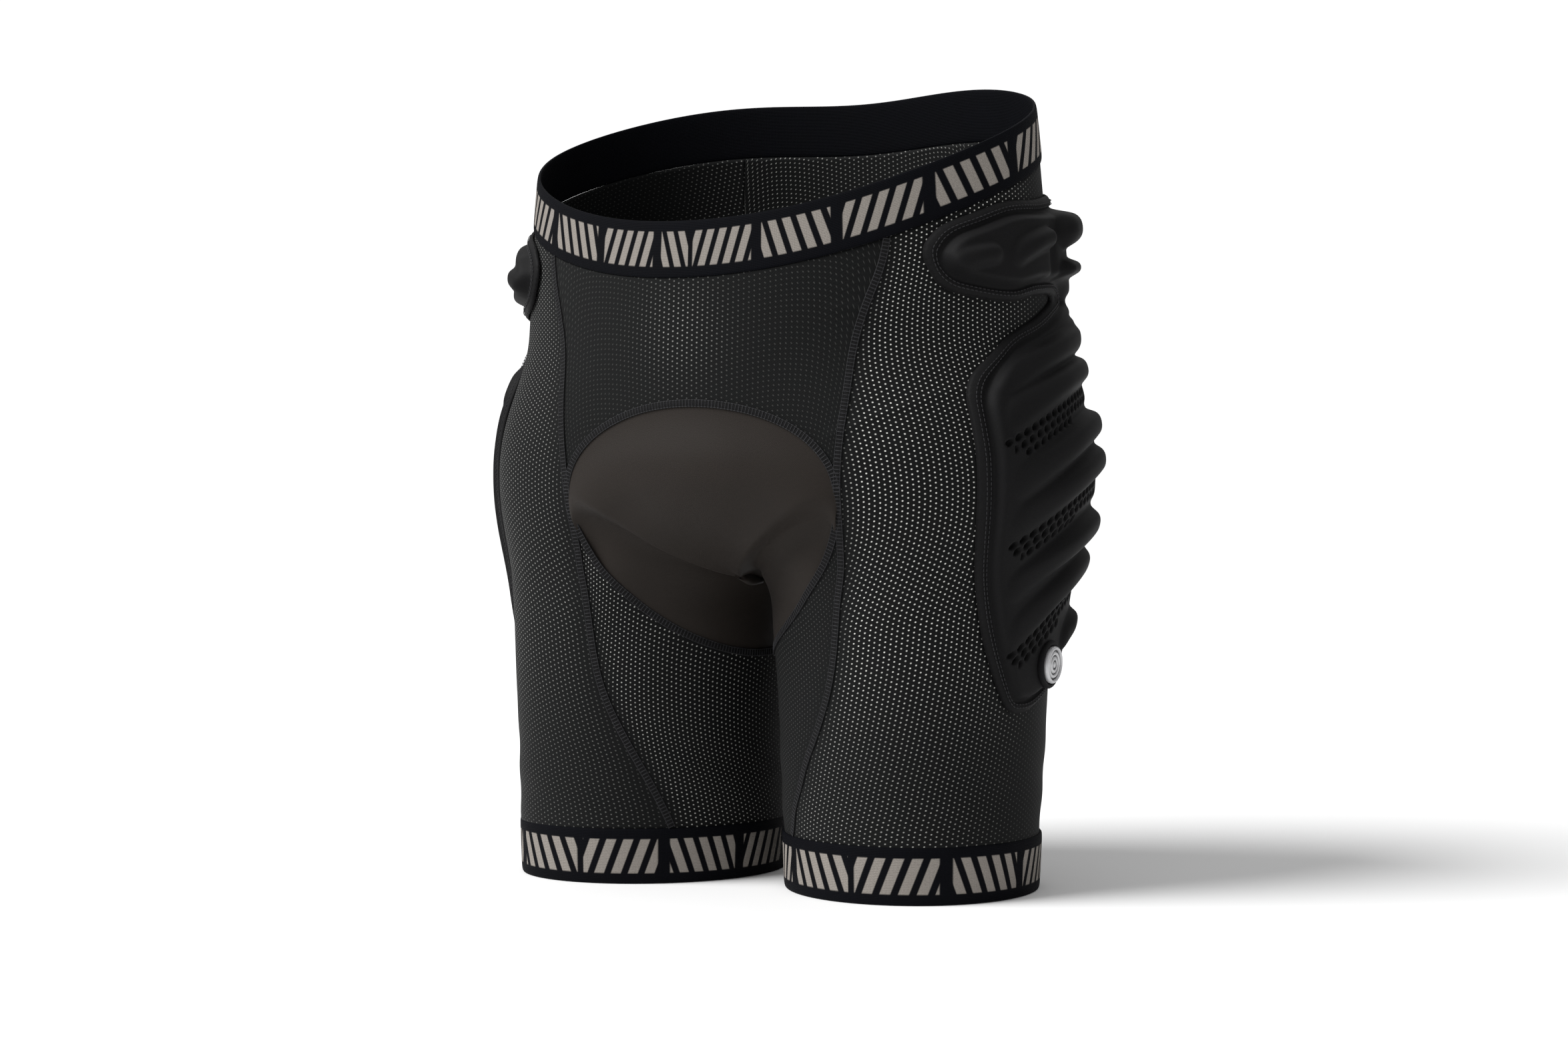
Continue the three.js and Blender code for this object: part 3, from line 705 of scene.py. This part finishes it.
KNIT, ELASTIC, JERSEY = open_knit(), elastic(), stretch_jersey()
FOAM, SILVER = moulded_foam(), silver_plastic()
LINING = mottled("brushed_lining", (0.01, 0.01, 0.012), (0.03, 0.03, 0.034), 900, 0.85, 0.0003, 0.6, 0.15)
SEAM_THREAD, PAD_THREAD = (
    mottled(f"{word}_thread", dark, light, 260, 0.6, 0.0001, sheen=0.05) for word, dark, light in (
        ("seam", (0.006, 0.006, 0.007), (0.028, 0.028, 0.031)),
        ("pad", (0.008, 0.008, 0.009), (0.034, 0.034, 0.037))))
PALE_FLOOR = mottled("pale_floor", (0.86, 0.86, 0.86), (0.9, 0.9, 0.9), 3, 0.9)


# ---- Fabric panels and elastic bands ----

for word, side in SIDES:
    def side_place(u, v):
        """Seam to seam round the outside, cuff to waistband."""
        z = lerp(BAND - 1, side_top(u), v)
        return around(side, side_degrees(u, z), z)

    def inner_place(u, v):
        """Seam to seam round the inside, cuff to insert."""
        share, top = insert_edge(u)
        z = lerp(BAND - 1, top, v)
        return around(side, inner_degrees(lerp(u, share, v), z), z)

    def side_open(u, v, p):
        """Painted light in the knit's holes: most over the left thigh's front, less low down, a little
        behind.
        """
        thigh = smooth_step(u / 0.05) * (1 - smooth_step((u - 0.24) / 0.2))
        lower = 0.35 + 0.65 * smooth_step((p[..., 2] - 70) / 90)
        return ((0.9 if side > 0 else 0.26) * thigh * lower + 0.04
                + 0.22 * smooth_step((u - 0.75) / 0.2))

    def inner_open(u, v, p):
        """Painted light in the knit's holes: most next to the front seam of the right leg."""
        return (0.06 if side > 0 else 0.6) * smooth_step(u / 0.08) * (1 - smooth_step((u - 0.35) / 0.3))

    panel(f"side_panel_{word}", side_place, 140, 190, KNIT, "mesh_fabric", open_at=side_open)
    panel(f"inner_leg_{word}", inner_place, 110, 70, KNIT, "mesh_fabric", open_at=inner_open)
    band(f"cuff_{word}", lambda d, v: around(side, d, np.full(np.shape(d), v)), 260)


def front_open(u, v, p):
    """Painted light in the knit's holes: a bell-shaped patch in the middle of the front."""
    return 0.04 + 0.36 * np.exp(-((p[..., 0] + 5) / 24) ** 2 - ((p[..., 2] - 328) / 28) ** 2)


def seat_open(u, v, p):
    """Painted light in the knit's holes: growing upwards."""
    return 0.12 + 0.2 * smooth_step(v)


panel("front_panel", lambda u, v: panel_point(FRONT_SEAM, across_at(u), v), 120, 70, KNIT,
      "mesh_fabric", open_at=front_open)
panel("seat_panel", lambda u, v: panel_point(BACK_SEAM, across_at(u), v), 100, 100, KNIT,
      "mesh_fabric", open_at=seat_open)
panel("crotch_insert", lambda u, v: insert_point(across_at(u), v), 170, 170, JERSEY,
      "insert_fabric", thickness=1.3, fullness=pouch)
band("waistband", lambda d, v: around(1, d, waist_lower(d) + v), 520)


# ---- Seams ----

STITCH_RINGS, STITCH_SIDES, RIBBON_SIDES = 5, 6, 12
THREAD_WIDTH, THREAD_HEIGHT = 0.62, 0.5


def run_of(path):
    """Distance run at each point of a path."""
    return np.concatenate([[0], np.cumsum(np.linalg.norm(np.diff(path, axis=0), axis=-1))])


def evenly(path, pitch):
    """Points a fixed distance apart along a path, each with its direction."""
    run = run_of(path)
    count = max(int(run[-1] / pitch), 2)
    at = (np.arange(count) + 0.5) * run[-1] / count
    points = np.stack([np.interp(at, run, path[:, k]) for k in range(3)], -1)
    ahead = np.stack([np.interp(at + pitch / 2, run, path[:, k]) for k in range(3)], -1)
    behind = np.stack([np.interp(at - pitch / 2, run, path[:, k]) for k in range(3)], -1)
    return points, unit(ahead - behind)


def stitches(name, points, ahead, normal, length, width, height, finish, slot="mesh_fabric"):
    """Short rounded threads: spindles laid along a direction, one at each point.

    A spindle's radius is the root of 1 less the fourth power of the way from its middle."""
    t = np.linspace(-1, 1, STITCH_RINGS)
    ring = np.arange(STITCH_SIDES) / STITCH_SIDES * 2 * np.pi
    swell = np.sqrt(np.clip(1 - (t * 0.97) ** 4, 0, 1))
    across = unit(np.cross(normal, ahead))
    shape = (points[:, None, None] + ahead[:, None, None] * (t * length / 2)[None, :, None, None]
             + across[:, None, None] * (swell[:, None] * np.cos(ring) * width / 2)[None, :, :, None]
             + normal[:, None, None] * (swell[:, None] * np.sin(ring) * height / 2)[None, :, :, None])
    first = np.arange(len(points))[:, None] * (STITCH_RINGS * STITCH_SIDES)
    faces = (quads(STITCH_RINGS, STITCH_SIDES, ring=True) + first[..., None]).reshape(-1, 4).tolist()
    last = first + (STITCH_RINGS - 1) * STITCH_SIDES
    end = np.arange(STITCH_SIDES)
    piece = build(name, shape, faces + (first + end[::-1]).tolist() + (last + end).tolist())
    tidied(piece)
    return finish_piece(piece, finish, slot)


def lifted(path, extra):
    """Points on the body surface, lifted by the fabric's folds and a little more."""
    return path + normals_at(path) * (relief(path) + extra)[..., None]


def seam(name, path, width=4.6, pitch=2.1):
    """Flatlock seam: a low ribbon with a thread rail on each edge and rungs across it."""
    dense, direction = evenly(path, 2.0)
    n = normals_at(dense)
    across = unit(np.cross(n, direction))
    turn = np.linspace(0, 2 * np.pi, RIBBON_SIDES, endpoint=False)
    reach = rounded(np.cos(turn), 0.6) * width / 2
    rise = rounded(np.sin(turn), 0.8) * 0.55
    centre = lifted(dense, 0.15)
    section = centre[:, None] + across[:, None] * reach[None, :, None] + n[:, None] * rise[None, :, None]
    end = np.arange(RIBBON_SIDES)
    faces = quads(len(dense), RIBBON_SIDES, ring=True).tolist()
    faces += [end[::-1].tolist(), (end + (len(dense) - 1) * RIBBON_SIDES).tolist()]
    ribbon = build(name, section, faces)
    tidied(ribbon)
    finish_piece(ribbon, FOAM, "mesh_fabric")
    points, direction = evenly(path, pitch)
    n = normals_at(points)
    across = unit(np.cross(n, direction))
    stitches(f"{name}_rungs", lifted(points, 0.72), across, n, width * 0.86, THREAD_WIDTH, THREAD_HEIGHT,
             SEAM_THREAD)
    rails = np.concatenate([lifted(points, 0.68) + across * s * width * 0.4 for s in (-1, 1)])
    stitches(f"{name}_rails", rails, np.concatenate([direction] * 2), np.concatenate([n] * 2),
             pitch * 0.95, 0.6, THREAD_HEIGHT, SEAM_THREAD)


for word, side in SIDES:
    for title, stations in (("front_seam", FRONT_SEAM), ("back_seam", BACK_SEAM)):
        top = WAIST_SIDE
        for _ in range(ESTIMATES):
            top = float(waist_lower(along(stations, top)))
        heights = np.linspace(BAND, top, 400)
        seam(f"{title}_{word}", around(side, along(stations, heights), heights))
    share, low = insert_edge(np.linspace(0, 1, 400))
    seam(f"insert_seam_{word}", around(side, inner_degrees(share, low), low))

for title, stations, facing in (("insert_seam_front", FRONT_SEAM, -1), ("insert_seam_back", BACK_SEAM, 1)):
    share = across_at(np.linspace(0, 1, 400))
    height = insert_arch(stations, share)
    seam(title, from_front(facing, share * seam_x(stations, height), height))


# ---- Side pads ----

PAD_NET = 0.8
LEAST_SLOPE = 0.2  # keeps a step down the outline distance short where it is nearly flat


def edge_line(stations, y):
    """Height and slope of one edge of the pad in side view, carried on straight past its ends."""
    within = np.linspace(stations[0][0], stations[-1][0], 281)
    slope = np.interp(y, within, np.gradient(along(stations, within), within))
    return along(stations, y) + slope * (y - np.clip(y, within[0], within[-1])), slope


def lobe(y, z, front, back, bottom, top):
    """Distance inside one lobe of the pad: the least of its distances to four rounded sides."""
    (low, low_slope), (high, high_slope) = edge_line(bottom, y), edge_line(top, y)
    lower, upper = (z - low) / np.hypot(1, low_slope), (high - z) / np.hypot(1, high_slope)
    ends = smooth_min(y - front, back - y, 16)
    return smooth_min(smooth_min(lower, upper, 7), ends, 14)


def outline_gap(y, z):
    """Distance inside the pad's outline in side view: the thigh lobe and the hip lobe joined."""
    thigh = lobe(y, z, *THIGH_ENDS, THIGH_BOTTOM, THIGH_TOP)
    hip = lobe(y, z, *HIP_ENDS, HIP_BOTTOM, HIP_TOP)
    return smooth_max(thigh, hip, 8)


def gap_slope(y, z, step=0.3):
    """Slope of the outline distance along y and along z."""
    along_y = (outline_gap(y + step, z) - outline_gap(y - step, z)) / (2 * step)
    along_z = (outline_gap(y, z + step) - outline_gap(y, z - step)) / (2 * step)
    return along_y, along_z


def rib_line(y, front, back, height, rise):
    """Middle line of a rib in side view: height plus rise times 1 less (1 less u) to the bend."""
    u = np.clip((y - front) / (back - front), 0, 1)
    return height + rise * (1 - (1 - u) ** RIB_BEND)


def mound(y, z, front, back, height, rise, width, proud, fade=0.0, swell=0.0):
    """Soft moulded bar: a capsule about its middle line, with a rounded crown.

    The crown is proud times (1 less q to the 2.6) to the 0.7, where q is the distance from the
    middle line over half the width. It fades towards the front and swells towards the back."""
    u = np.clip((y - front) / (back - front), 0, 1)
    half = (width + swell * smooth_step((u - 0.25) / 0.6)) / 2
    middle = rib_line(y, front, back, height, rise) + (half - width / 2)
    slope = rise * RIB_BEND * (1 - u) ** (RIB_BEND - 1) / (back - front)
    across = (z - middle) / np.hypot(1, slope) / half
    past_end = np.maximum(np.abs(y - (front + back) / 2) - ((back - front) / 2 - half), 0) / half
    q = np.hypot(across, past_end)
    crown = np.clip(1 - q ** 2.6, 0, 1) ** 0.7
    return proud * crown * lerp(1 - fade, 1, smooth_step(u / 0.55))


def softened(height):
    """Mean of each point and its eight neighbours, taken twice."""
    for _ in range(2):
        wide = np.pad(height, 1, mode="edge")
        rows = (wide[:-2] + wide[1:-1] + wide[2:]) / 3
        height = (rows[:, :-2] + rows[:, 1:-1] + rows[:, 2:]) / 3
    return height


def dimples(y, z, d):
    """Depth share of the round blind holes in staggered rows below every second rib."""
    share = np.zeros(y.shape)
    for front, height, rise in RIBS[1::2]:
        below = rib_line(y, front, RIB_BACK, height, rise) - z - RIB_WIDTH / 2
        for row in range(3):
            cell = (y / DIMPLE_PITCH + 0.5 * (row % 2)) % 1 - 0.5
            r = np.hypot(cell * DIMPLE_PITCH, below - 4.4 - DIMPLE_ROW * row)
            last = RIB_BACK - 2 if row < 2 else 6
            reach = smooth_step((d - 10) / 2) * (y > front - 2 + 5 * row) * (y < last)
            share = np.maximum(share, reach * smooth_step((DIMPLE_RADIUS - r) / 0.9))
    return share


def pad_height(y, z, d):
    """Height of the pad's face: a quarter-round edge, an eased step from border to field, bell-shaped
    grooves beside the border and the highest mound, less the creases and the hip's groove."""
    rise = PAD_EDGE * np.sqrt(np.clip(1 - (1 - np.clip(d / PAD_EDGE, 0, 1)) ** 2, 0, 1))
    full = lerp(THIGH_PAD, HIP_PAD, smooth_step((z - 330) / 26))
    field = (full - PAD_EDGE) * smooth_step((d - BORDER) / BORDER_RISE)
    groove = -2.4 * np.exp(-((d - BORDER) / 1.2) ** 2) - 1.2 * np.exp(-((d - 1.9) / 0.8) ** 2)
    raised = np.zeros(y.shape)
    for number, (front, height, up) in enumerate(RIBS):
        widen = 7.0 if number == 0 else 0.0
        one = mound(y, z, front, RIB_BACK, height, up, RIB_WIDTH + 1.5, RIB, fade=0.75, swell=widen)
        raised = np.maximum(raised, one)
    for title, (front, back, height, up, width, proud) in SHORT_BARS.items():
        fade = 0.0 if "knob" in title else 0.5
        raised = np.maximum(raised, mound(y, z, front, back, height, up, width, proud, fade=fade))
    crease = 0.0
    for front, height, up in RIBS[::2]:
        u = np.clip((y - front) / (RIB_BACK - front), 0, 1)
        line = rib_line(y, front, RIB_BACK, height, up)
        across = z - line - RIB_WIDTH * 0.72
        crease = crease + np.exp(-(across / 3.0) ** 2) * smooth_step(u / 0.3) * (y < RIB_BACK)
    spine = np.exp(-((y + 1.5) / 3.2) ** 2) * smooth_step((z - 352) / 8) * smooth_step((392 - z) / 6)
    inner = smooth_step((d - 9) / 3)
    return softened(np.maximum(rise + field + groove + raised - inner * (1.8 * crease + 2.6 * spine), 0.2))


def side_pad(word, side):
    """Pad over a fine square net in side view. Cells outside the outline are dropped, and the
    rim's points are moved onto the outline, where face and back meet."""
    y, z = np.meshgrid(np.arange(-82, 66, PAD_NET), np.arange(102, 422, PAD_NET))
    d = outline_gap(y, z)
    inside = d > 0
    cell = inside[:-1, :-1] & inside[1:, :-1] & inside[:-1, 1:] & inside[1:, 1:]
    used = np.zeros(d.shape, bool)
    full = np.zeros(d.shape, int)
    for dj in (0, 1):
        for di in (0, 1):
            window = (slice(dj, d.shape[0] - 1 + dj), slice(di, d.shape[1] - 1 + di))
            used[window] |= cell
            full[window] += cell
    rim = used & (full < 4)
    holes = dimples(y, z, d)
    height = np.where(rim, 0.25, pad_height(y, z, d) - DIMPLE_DEPTH * holes)
    gy, gz = gap_slope(y, z)
    size = np.maximum(gy * gy + gz * gz, LEAST_SLOPE)
    y = np.where(rim, y - gy * d / size, y)
    z = np.where(rim, z - gz * d / size, z)
    index = np.full(d.shape, -1)
    index[used] = np.arange(used.sum())
    base = from_side(side, y[used], z[used])
    n = normals_at(base)
    face = base + n * (PAD_GAP + height[used])[:, None]
    back = base + n * (PAD_GAP - 0.3)
    j, i = np.nonzero(cell)
    ring = np.stack([index[j, i], index[j, i + 1], index[j + 1, i + 1], index[j + 1, i]], -1)
    back_index = np.where(rim[used], np.arange(len(base)), np.arange(len(base)) + len(base))
    faces = np.concatenate([ring, back_index[ring][:, ::-1]])
    # The dimples' depth share goes to the foam's colour as painted shade
    piece = build(f"side_pad_{word}", np.concatenate([face, back]), faces,
                  hollow=np.concatenate([holes[used], np.zeros(len(base))]))
    tidied(piece)
    ribs = [f"thigh_rib_{number}_{word}" for number in range(1, 7)]
    bars = [f"{title}_{word}" for title in SHORT_BARS]
    finish_piece(piece, FOAM, "pad_foam", f"side_pad_{word}", *ribs, *bars)
    return piece


def border_stitches(word, side):
    """Two rows of stitches along the pad's border, each at its own distance inside the outline.

    A rough loop round the outline is slid down the slope of the distance, then spaced evenly."""
    loop = np.array(THIGH_BOTTOM + [(60, 358)] + HIP_TOP[::-1] + HIP_BOTTOM[:6] + THIGH_TOP[4::-1]
                    + THIGH_BOTTOM[:1], float)
    run = run_of(loop)
    share = np.linspace(0, run[-1], 1600)
    for number, depth in enumerate(BORDER_STITCH_DEPTHS, 1):
        y, z = (np.interp(share, run, loop[:, k]) for k in (0, 1))
        for _ in range(30):
            gy, gz = gap_slope(y, z)
            off = (depth - outline_gap(y, z)) * 0.6 / np.maximum(gy * gy + gz * gz, LEAST_SLOPE)
            y, z = y + gy * off, z + gz * off
        path = from_side(side, y, z)
        points, direction = evenly(path, 2.7)
        n = normals_at(points)
        threads = points + n * (PAD_GAP + PAD_EDGE + 0.12)
        stitches(f"border_stitches_{number}_{word}", threads, direction, n, 2.1, THREAD_WIDTH, 0.6,
                 PAD_THREAD, "pad_foam")


def plate(name, side, profile, finish, slot):
    """Round plate: a profile of radius, height and darkness, turned about the surface's normal."""
    seat = from_side(side, np.array([float(BADGE_Y)]), np.array([float(BADGE_HEIGHT)]))
    n = normals_at(seat)[0]
    tangent = unit(np.cross(n, (0, 0, 1.0)))
    other = np.cross(n, tangent)
    angle = np.linspace(0, 2 * np.pi, 96, endpoint=False)
    r, h, dark_share = np.array([(*row, 0)[:3] for row in profile], float).T
    h = h + (THIGH_PAD + PAD_GAP)
    p = (seat[0] + n * h[:, None, None] + tangent * (r[:, None] * np.cos(angle))[..., None]
         + other * (r[:, None] * np.sin(angle))[..., None])
    piece = build(name, p, quads(len(r), 96, ring=True), hollow=np.repeat(dark_share, 96))
    tidied(piece)
    return finish_piece(piece, finish, slot, name)


for word, side in SIDES:
    side_pad(word, side)
    border_stitches(word, side)
    plate(f"badge_surround_{word}", side, SURROUND, FOAM, "pad_foam")
    plate(f"badge_{word}", side, BADGE, SILVER, "badge")


# ---- Inner pads ----

VOXEL, MOST_TRAVEL, FRAMES = 0.003, 0.0025, 20  # of the cloth simulation, in metres
INNER_PAD_EDGE, CHANNEL_WIDTH, CHANNEL_DEPTH = 5, 1.6, 1.8


def swollen(piece):
    """Swells a pad as cloth with air in it, after an even remesh.

    Each point's travel is capped, and none of it goes outwards through the fabric."""
    even = piece.modifiers.new("even_mesh", "REMESH")
    even.mode, even.voxel_size = "VOXEL", VOXEL
    settled_mesh(piece)
    start = points_of(piece.data)
    swelling = piece.modifiers.new("swelling", "CLOTH")
    swelling.settings.use_pressure = True
    swelling.settings.uniform_pressure_force = 4
    swelling.settings.effector_weights.gravity = 0
    for moment in range(1, FRAMES + 1):
        bpy.context.scene.frame_set(moment)
    blown = evaluated(piece)
    travel = points_of(blown.data) - start
    piece.modifiers.clear()
    bpy.context.scene.frame_set(1)
    distance = np.linalg.norm(travel, axis=1, keepdims=True)
    travel = travel * np.minimum(1, MOST_TRAVEL / np.maximum(distance, 1e-9))
    out = normals_at(start / MM - (0, SHIFT_Y, 0))
    travel = travel - out * np.maximum(np.sum(travel * out, axis=1, keepdims=True), 0)
    piece.data.vertices.foreach_set("co", (start + travel).ravel())
    piece.data.polygons.foreach_set("use_smooth", [True] * len(piece.data.polygons))
    piece.data.update()
    finer = piece.modifiers.new("finer", "SUBSURF")
    finer.levels = finer.render_levels = 1
    settled_mesh(piece)


def points_of(mesh):
    """Places of a mesh's points, in metres."""
    found = np.empty(len(mesh.vertices) * 3)
    mesh.vertices.foreach_get("co", found)
    return found.reshape(-1, 3)


def evaluated(piece):
    """The piece as its modifiers leave it."""
    return piece.evaluated_get(bpy.context.evaluated_depsgraph_get())


def settled_mesh(piece):
    """Replaces the piece's mesh by the result of its modifiers."""
    made = bpy.data.meshes.new_from_object(evaluated(piece))
    piece.modifiers.clear()
    piece.data = made


def sewn_channels(piece, every):
    """Presses upright sewn lines, evenly spaced from the middle out, into a pad's inner side."""
    p = points_of(piece.data) / MM - (0, SHIFT_Y, 0)
    out = normals_at(p)
    deep = np.clip((-body_field(p) - FABRIC - 3) / 3, 0, 1)
    off = (p[:, 0] + every / 2) % every - every / 2
    press = CHANNEL_DEPTH * np.exp(-(off / CHANNEL_WIDTH) ** 2) * deep
    piece.data.vertices.foreach_set("co", ((p + out * press[:, None] + (0, SHIFT_Y, 0)) * MM).ravel())
    piece.data.update()


def inner_pad(name, place, columns, rows, thickness, finish, slot, every):
    """Inner pad: a slab with a quarter-round crown inside the fabric, swollen, then sewn through."""
    u, v = grid(columns, rows)
    p = place(u, v)
    n = normals_at(p)
    edge = np.minimum(np.minimum(u, 1 - u), np.minimum(v, 1 - v))
    swell = np.sqrt(np.clip(1 - (1 - np.clip(edge / 0.28, 0, 1)) ** 2, 0, 1))
    outer = p - n * (FABRIC + PAD_GAP)
    inner = p - n * (FABRIC + PAD_GAP + INNER_PAD_EDGE + (thickness - 6.5) * swell)[..., None]
    both = np.concatenate([outer.reshape(-1, 3), inner.reshape(-1, 3)])
    top = quads(rows + 1, columns + 1)
    shape = np.arange((rows + 1) * (columns + 1)).reshape(rows + 1, columns + 1)
    loop = np.concatenate([shape[0], shape[1:, -1], shape[-1, -2::-1], shape[-2:0:-1, 0]])
    wall = np.stack([loop, np.roll(loop, -1), np.roll(loop, -1) + shape.size, loop + shape.size], -1)
    piece = build(name, both, np.concatenate([top, top[:, ::-1] + shape.size, wall]))
    tidied(piece)
    swollen(piece)
    sewn_channels(piece, every)
    finish_piece(piece, finish, slot, name)
    return piece


inner_pad("seat_pad", lambda u, v: insert_point(across_at(lerp(0.125, 0.875, u)), lerp(0.125, 0.875, v)),
          60, 60, 9, LINING, "pad_lining", every=26)
inner_pad("tailbone_pad", lambda u, v: from_front(1, lerp(-42, 42, u) * lerp(0.62, 1, v), lerp(300, 400, v)),
          50, 60, 10, FOAM, "pad_foam", every=22)


# ---- Floor, light and camera ----

FLOOR_SIZE, FLOOR_DROP = 12, 0.0002
AMBIENT, BACKDROP_EXTRA = 0.28, 0.8  # the backdrop looks brighter to the camera than it lights
# Suns: degrees from straight ahead, degrees up, strength, spread in degrees
SUNS = {"key_light": (-46, 46, 3.8, 36), "fill_light": (40, 60, 0.3, 60), "back_light": (195, 55, 0.5, 70)}
CAMERA_AZIMUTH, CAMERA_DISTANCE, CAMERA_HEIGHT = math.radians(28), 1.62, 0.222
CAMERA_LENS, CAMERA_SENSOR, CAMERA_SHIFT = 60.5, 36, -0.00681

bpy.ops.mesh.primitive_plane_add(size=FLOOR_SIZE, location=(0, 0, -FLOOR_DROP))
floor = bpy.context.object
floor.name = "floor"
floor.data.materials.append(PALE_FLOOR)

world = bpy.data.worlds.new("studio")
bpy.context.scene.world = world
world.use_nodes = True
sky = world.node_tree
background = sky.nodes["Background"].inputs
feed(sky, background[0], (1, 1, 1, 1))
feed(sky, background[1], node(sky, "ShaderNodeLightPath") * BACKDROP_EXTRA + AMBIENT)

for name, (turned, up, power, spread) in SUNS.items():
    sun = bpy.data.lights.new(name, "SUN")
    sun.energy, sun.angle = power, math.radians(spread)
    lamp = bpy.data.objects.new(name, sun)
    bpy.context.scene.collection.objects.link(lamp)
    lamp.rotation_euler = (math.radians(90 - up), 0, math.radians(turned))

camera_data = bpy.data.cameras.new("camera")
camera_data.sensor_width, camera_data.lens = CAMERA_SENSOR, CAMERA_LENS
camera_data.shift_y = CAMERA_SHIFT
camera = bpy.data.objects.new("camera", camera_data)
bpy.context.scene.collection.objects.link(camera)
camera.location = (math.sin(CAMERA_AZIMUTH) * CAMERA_DISTANCE,
                   SHIFT_Y * MM - math.cos(CAMERA_AZIMUTH) * CAMERA_DISTANCE, CAMERA_HEIGHT)
camera.rotation_euler = (math.pi / 2, 0, CAMERA_AZIMUTH)
bpy.context.scene.camera = camera
bpy.context.scene.view_settings.view_transform = "Standard"
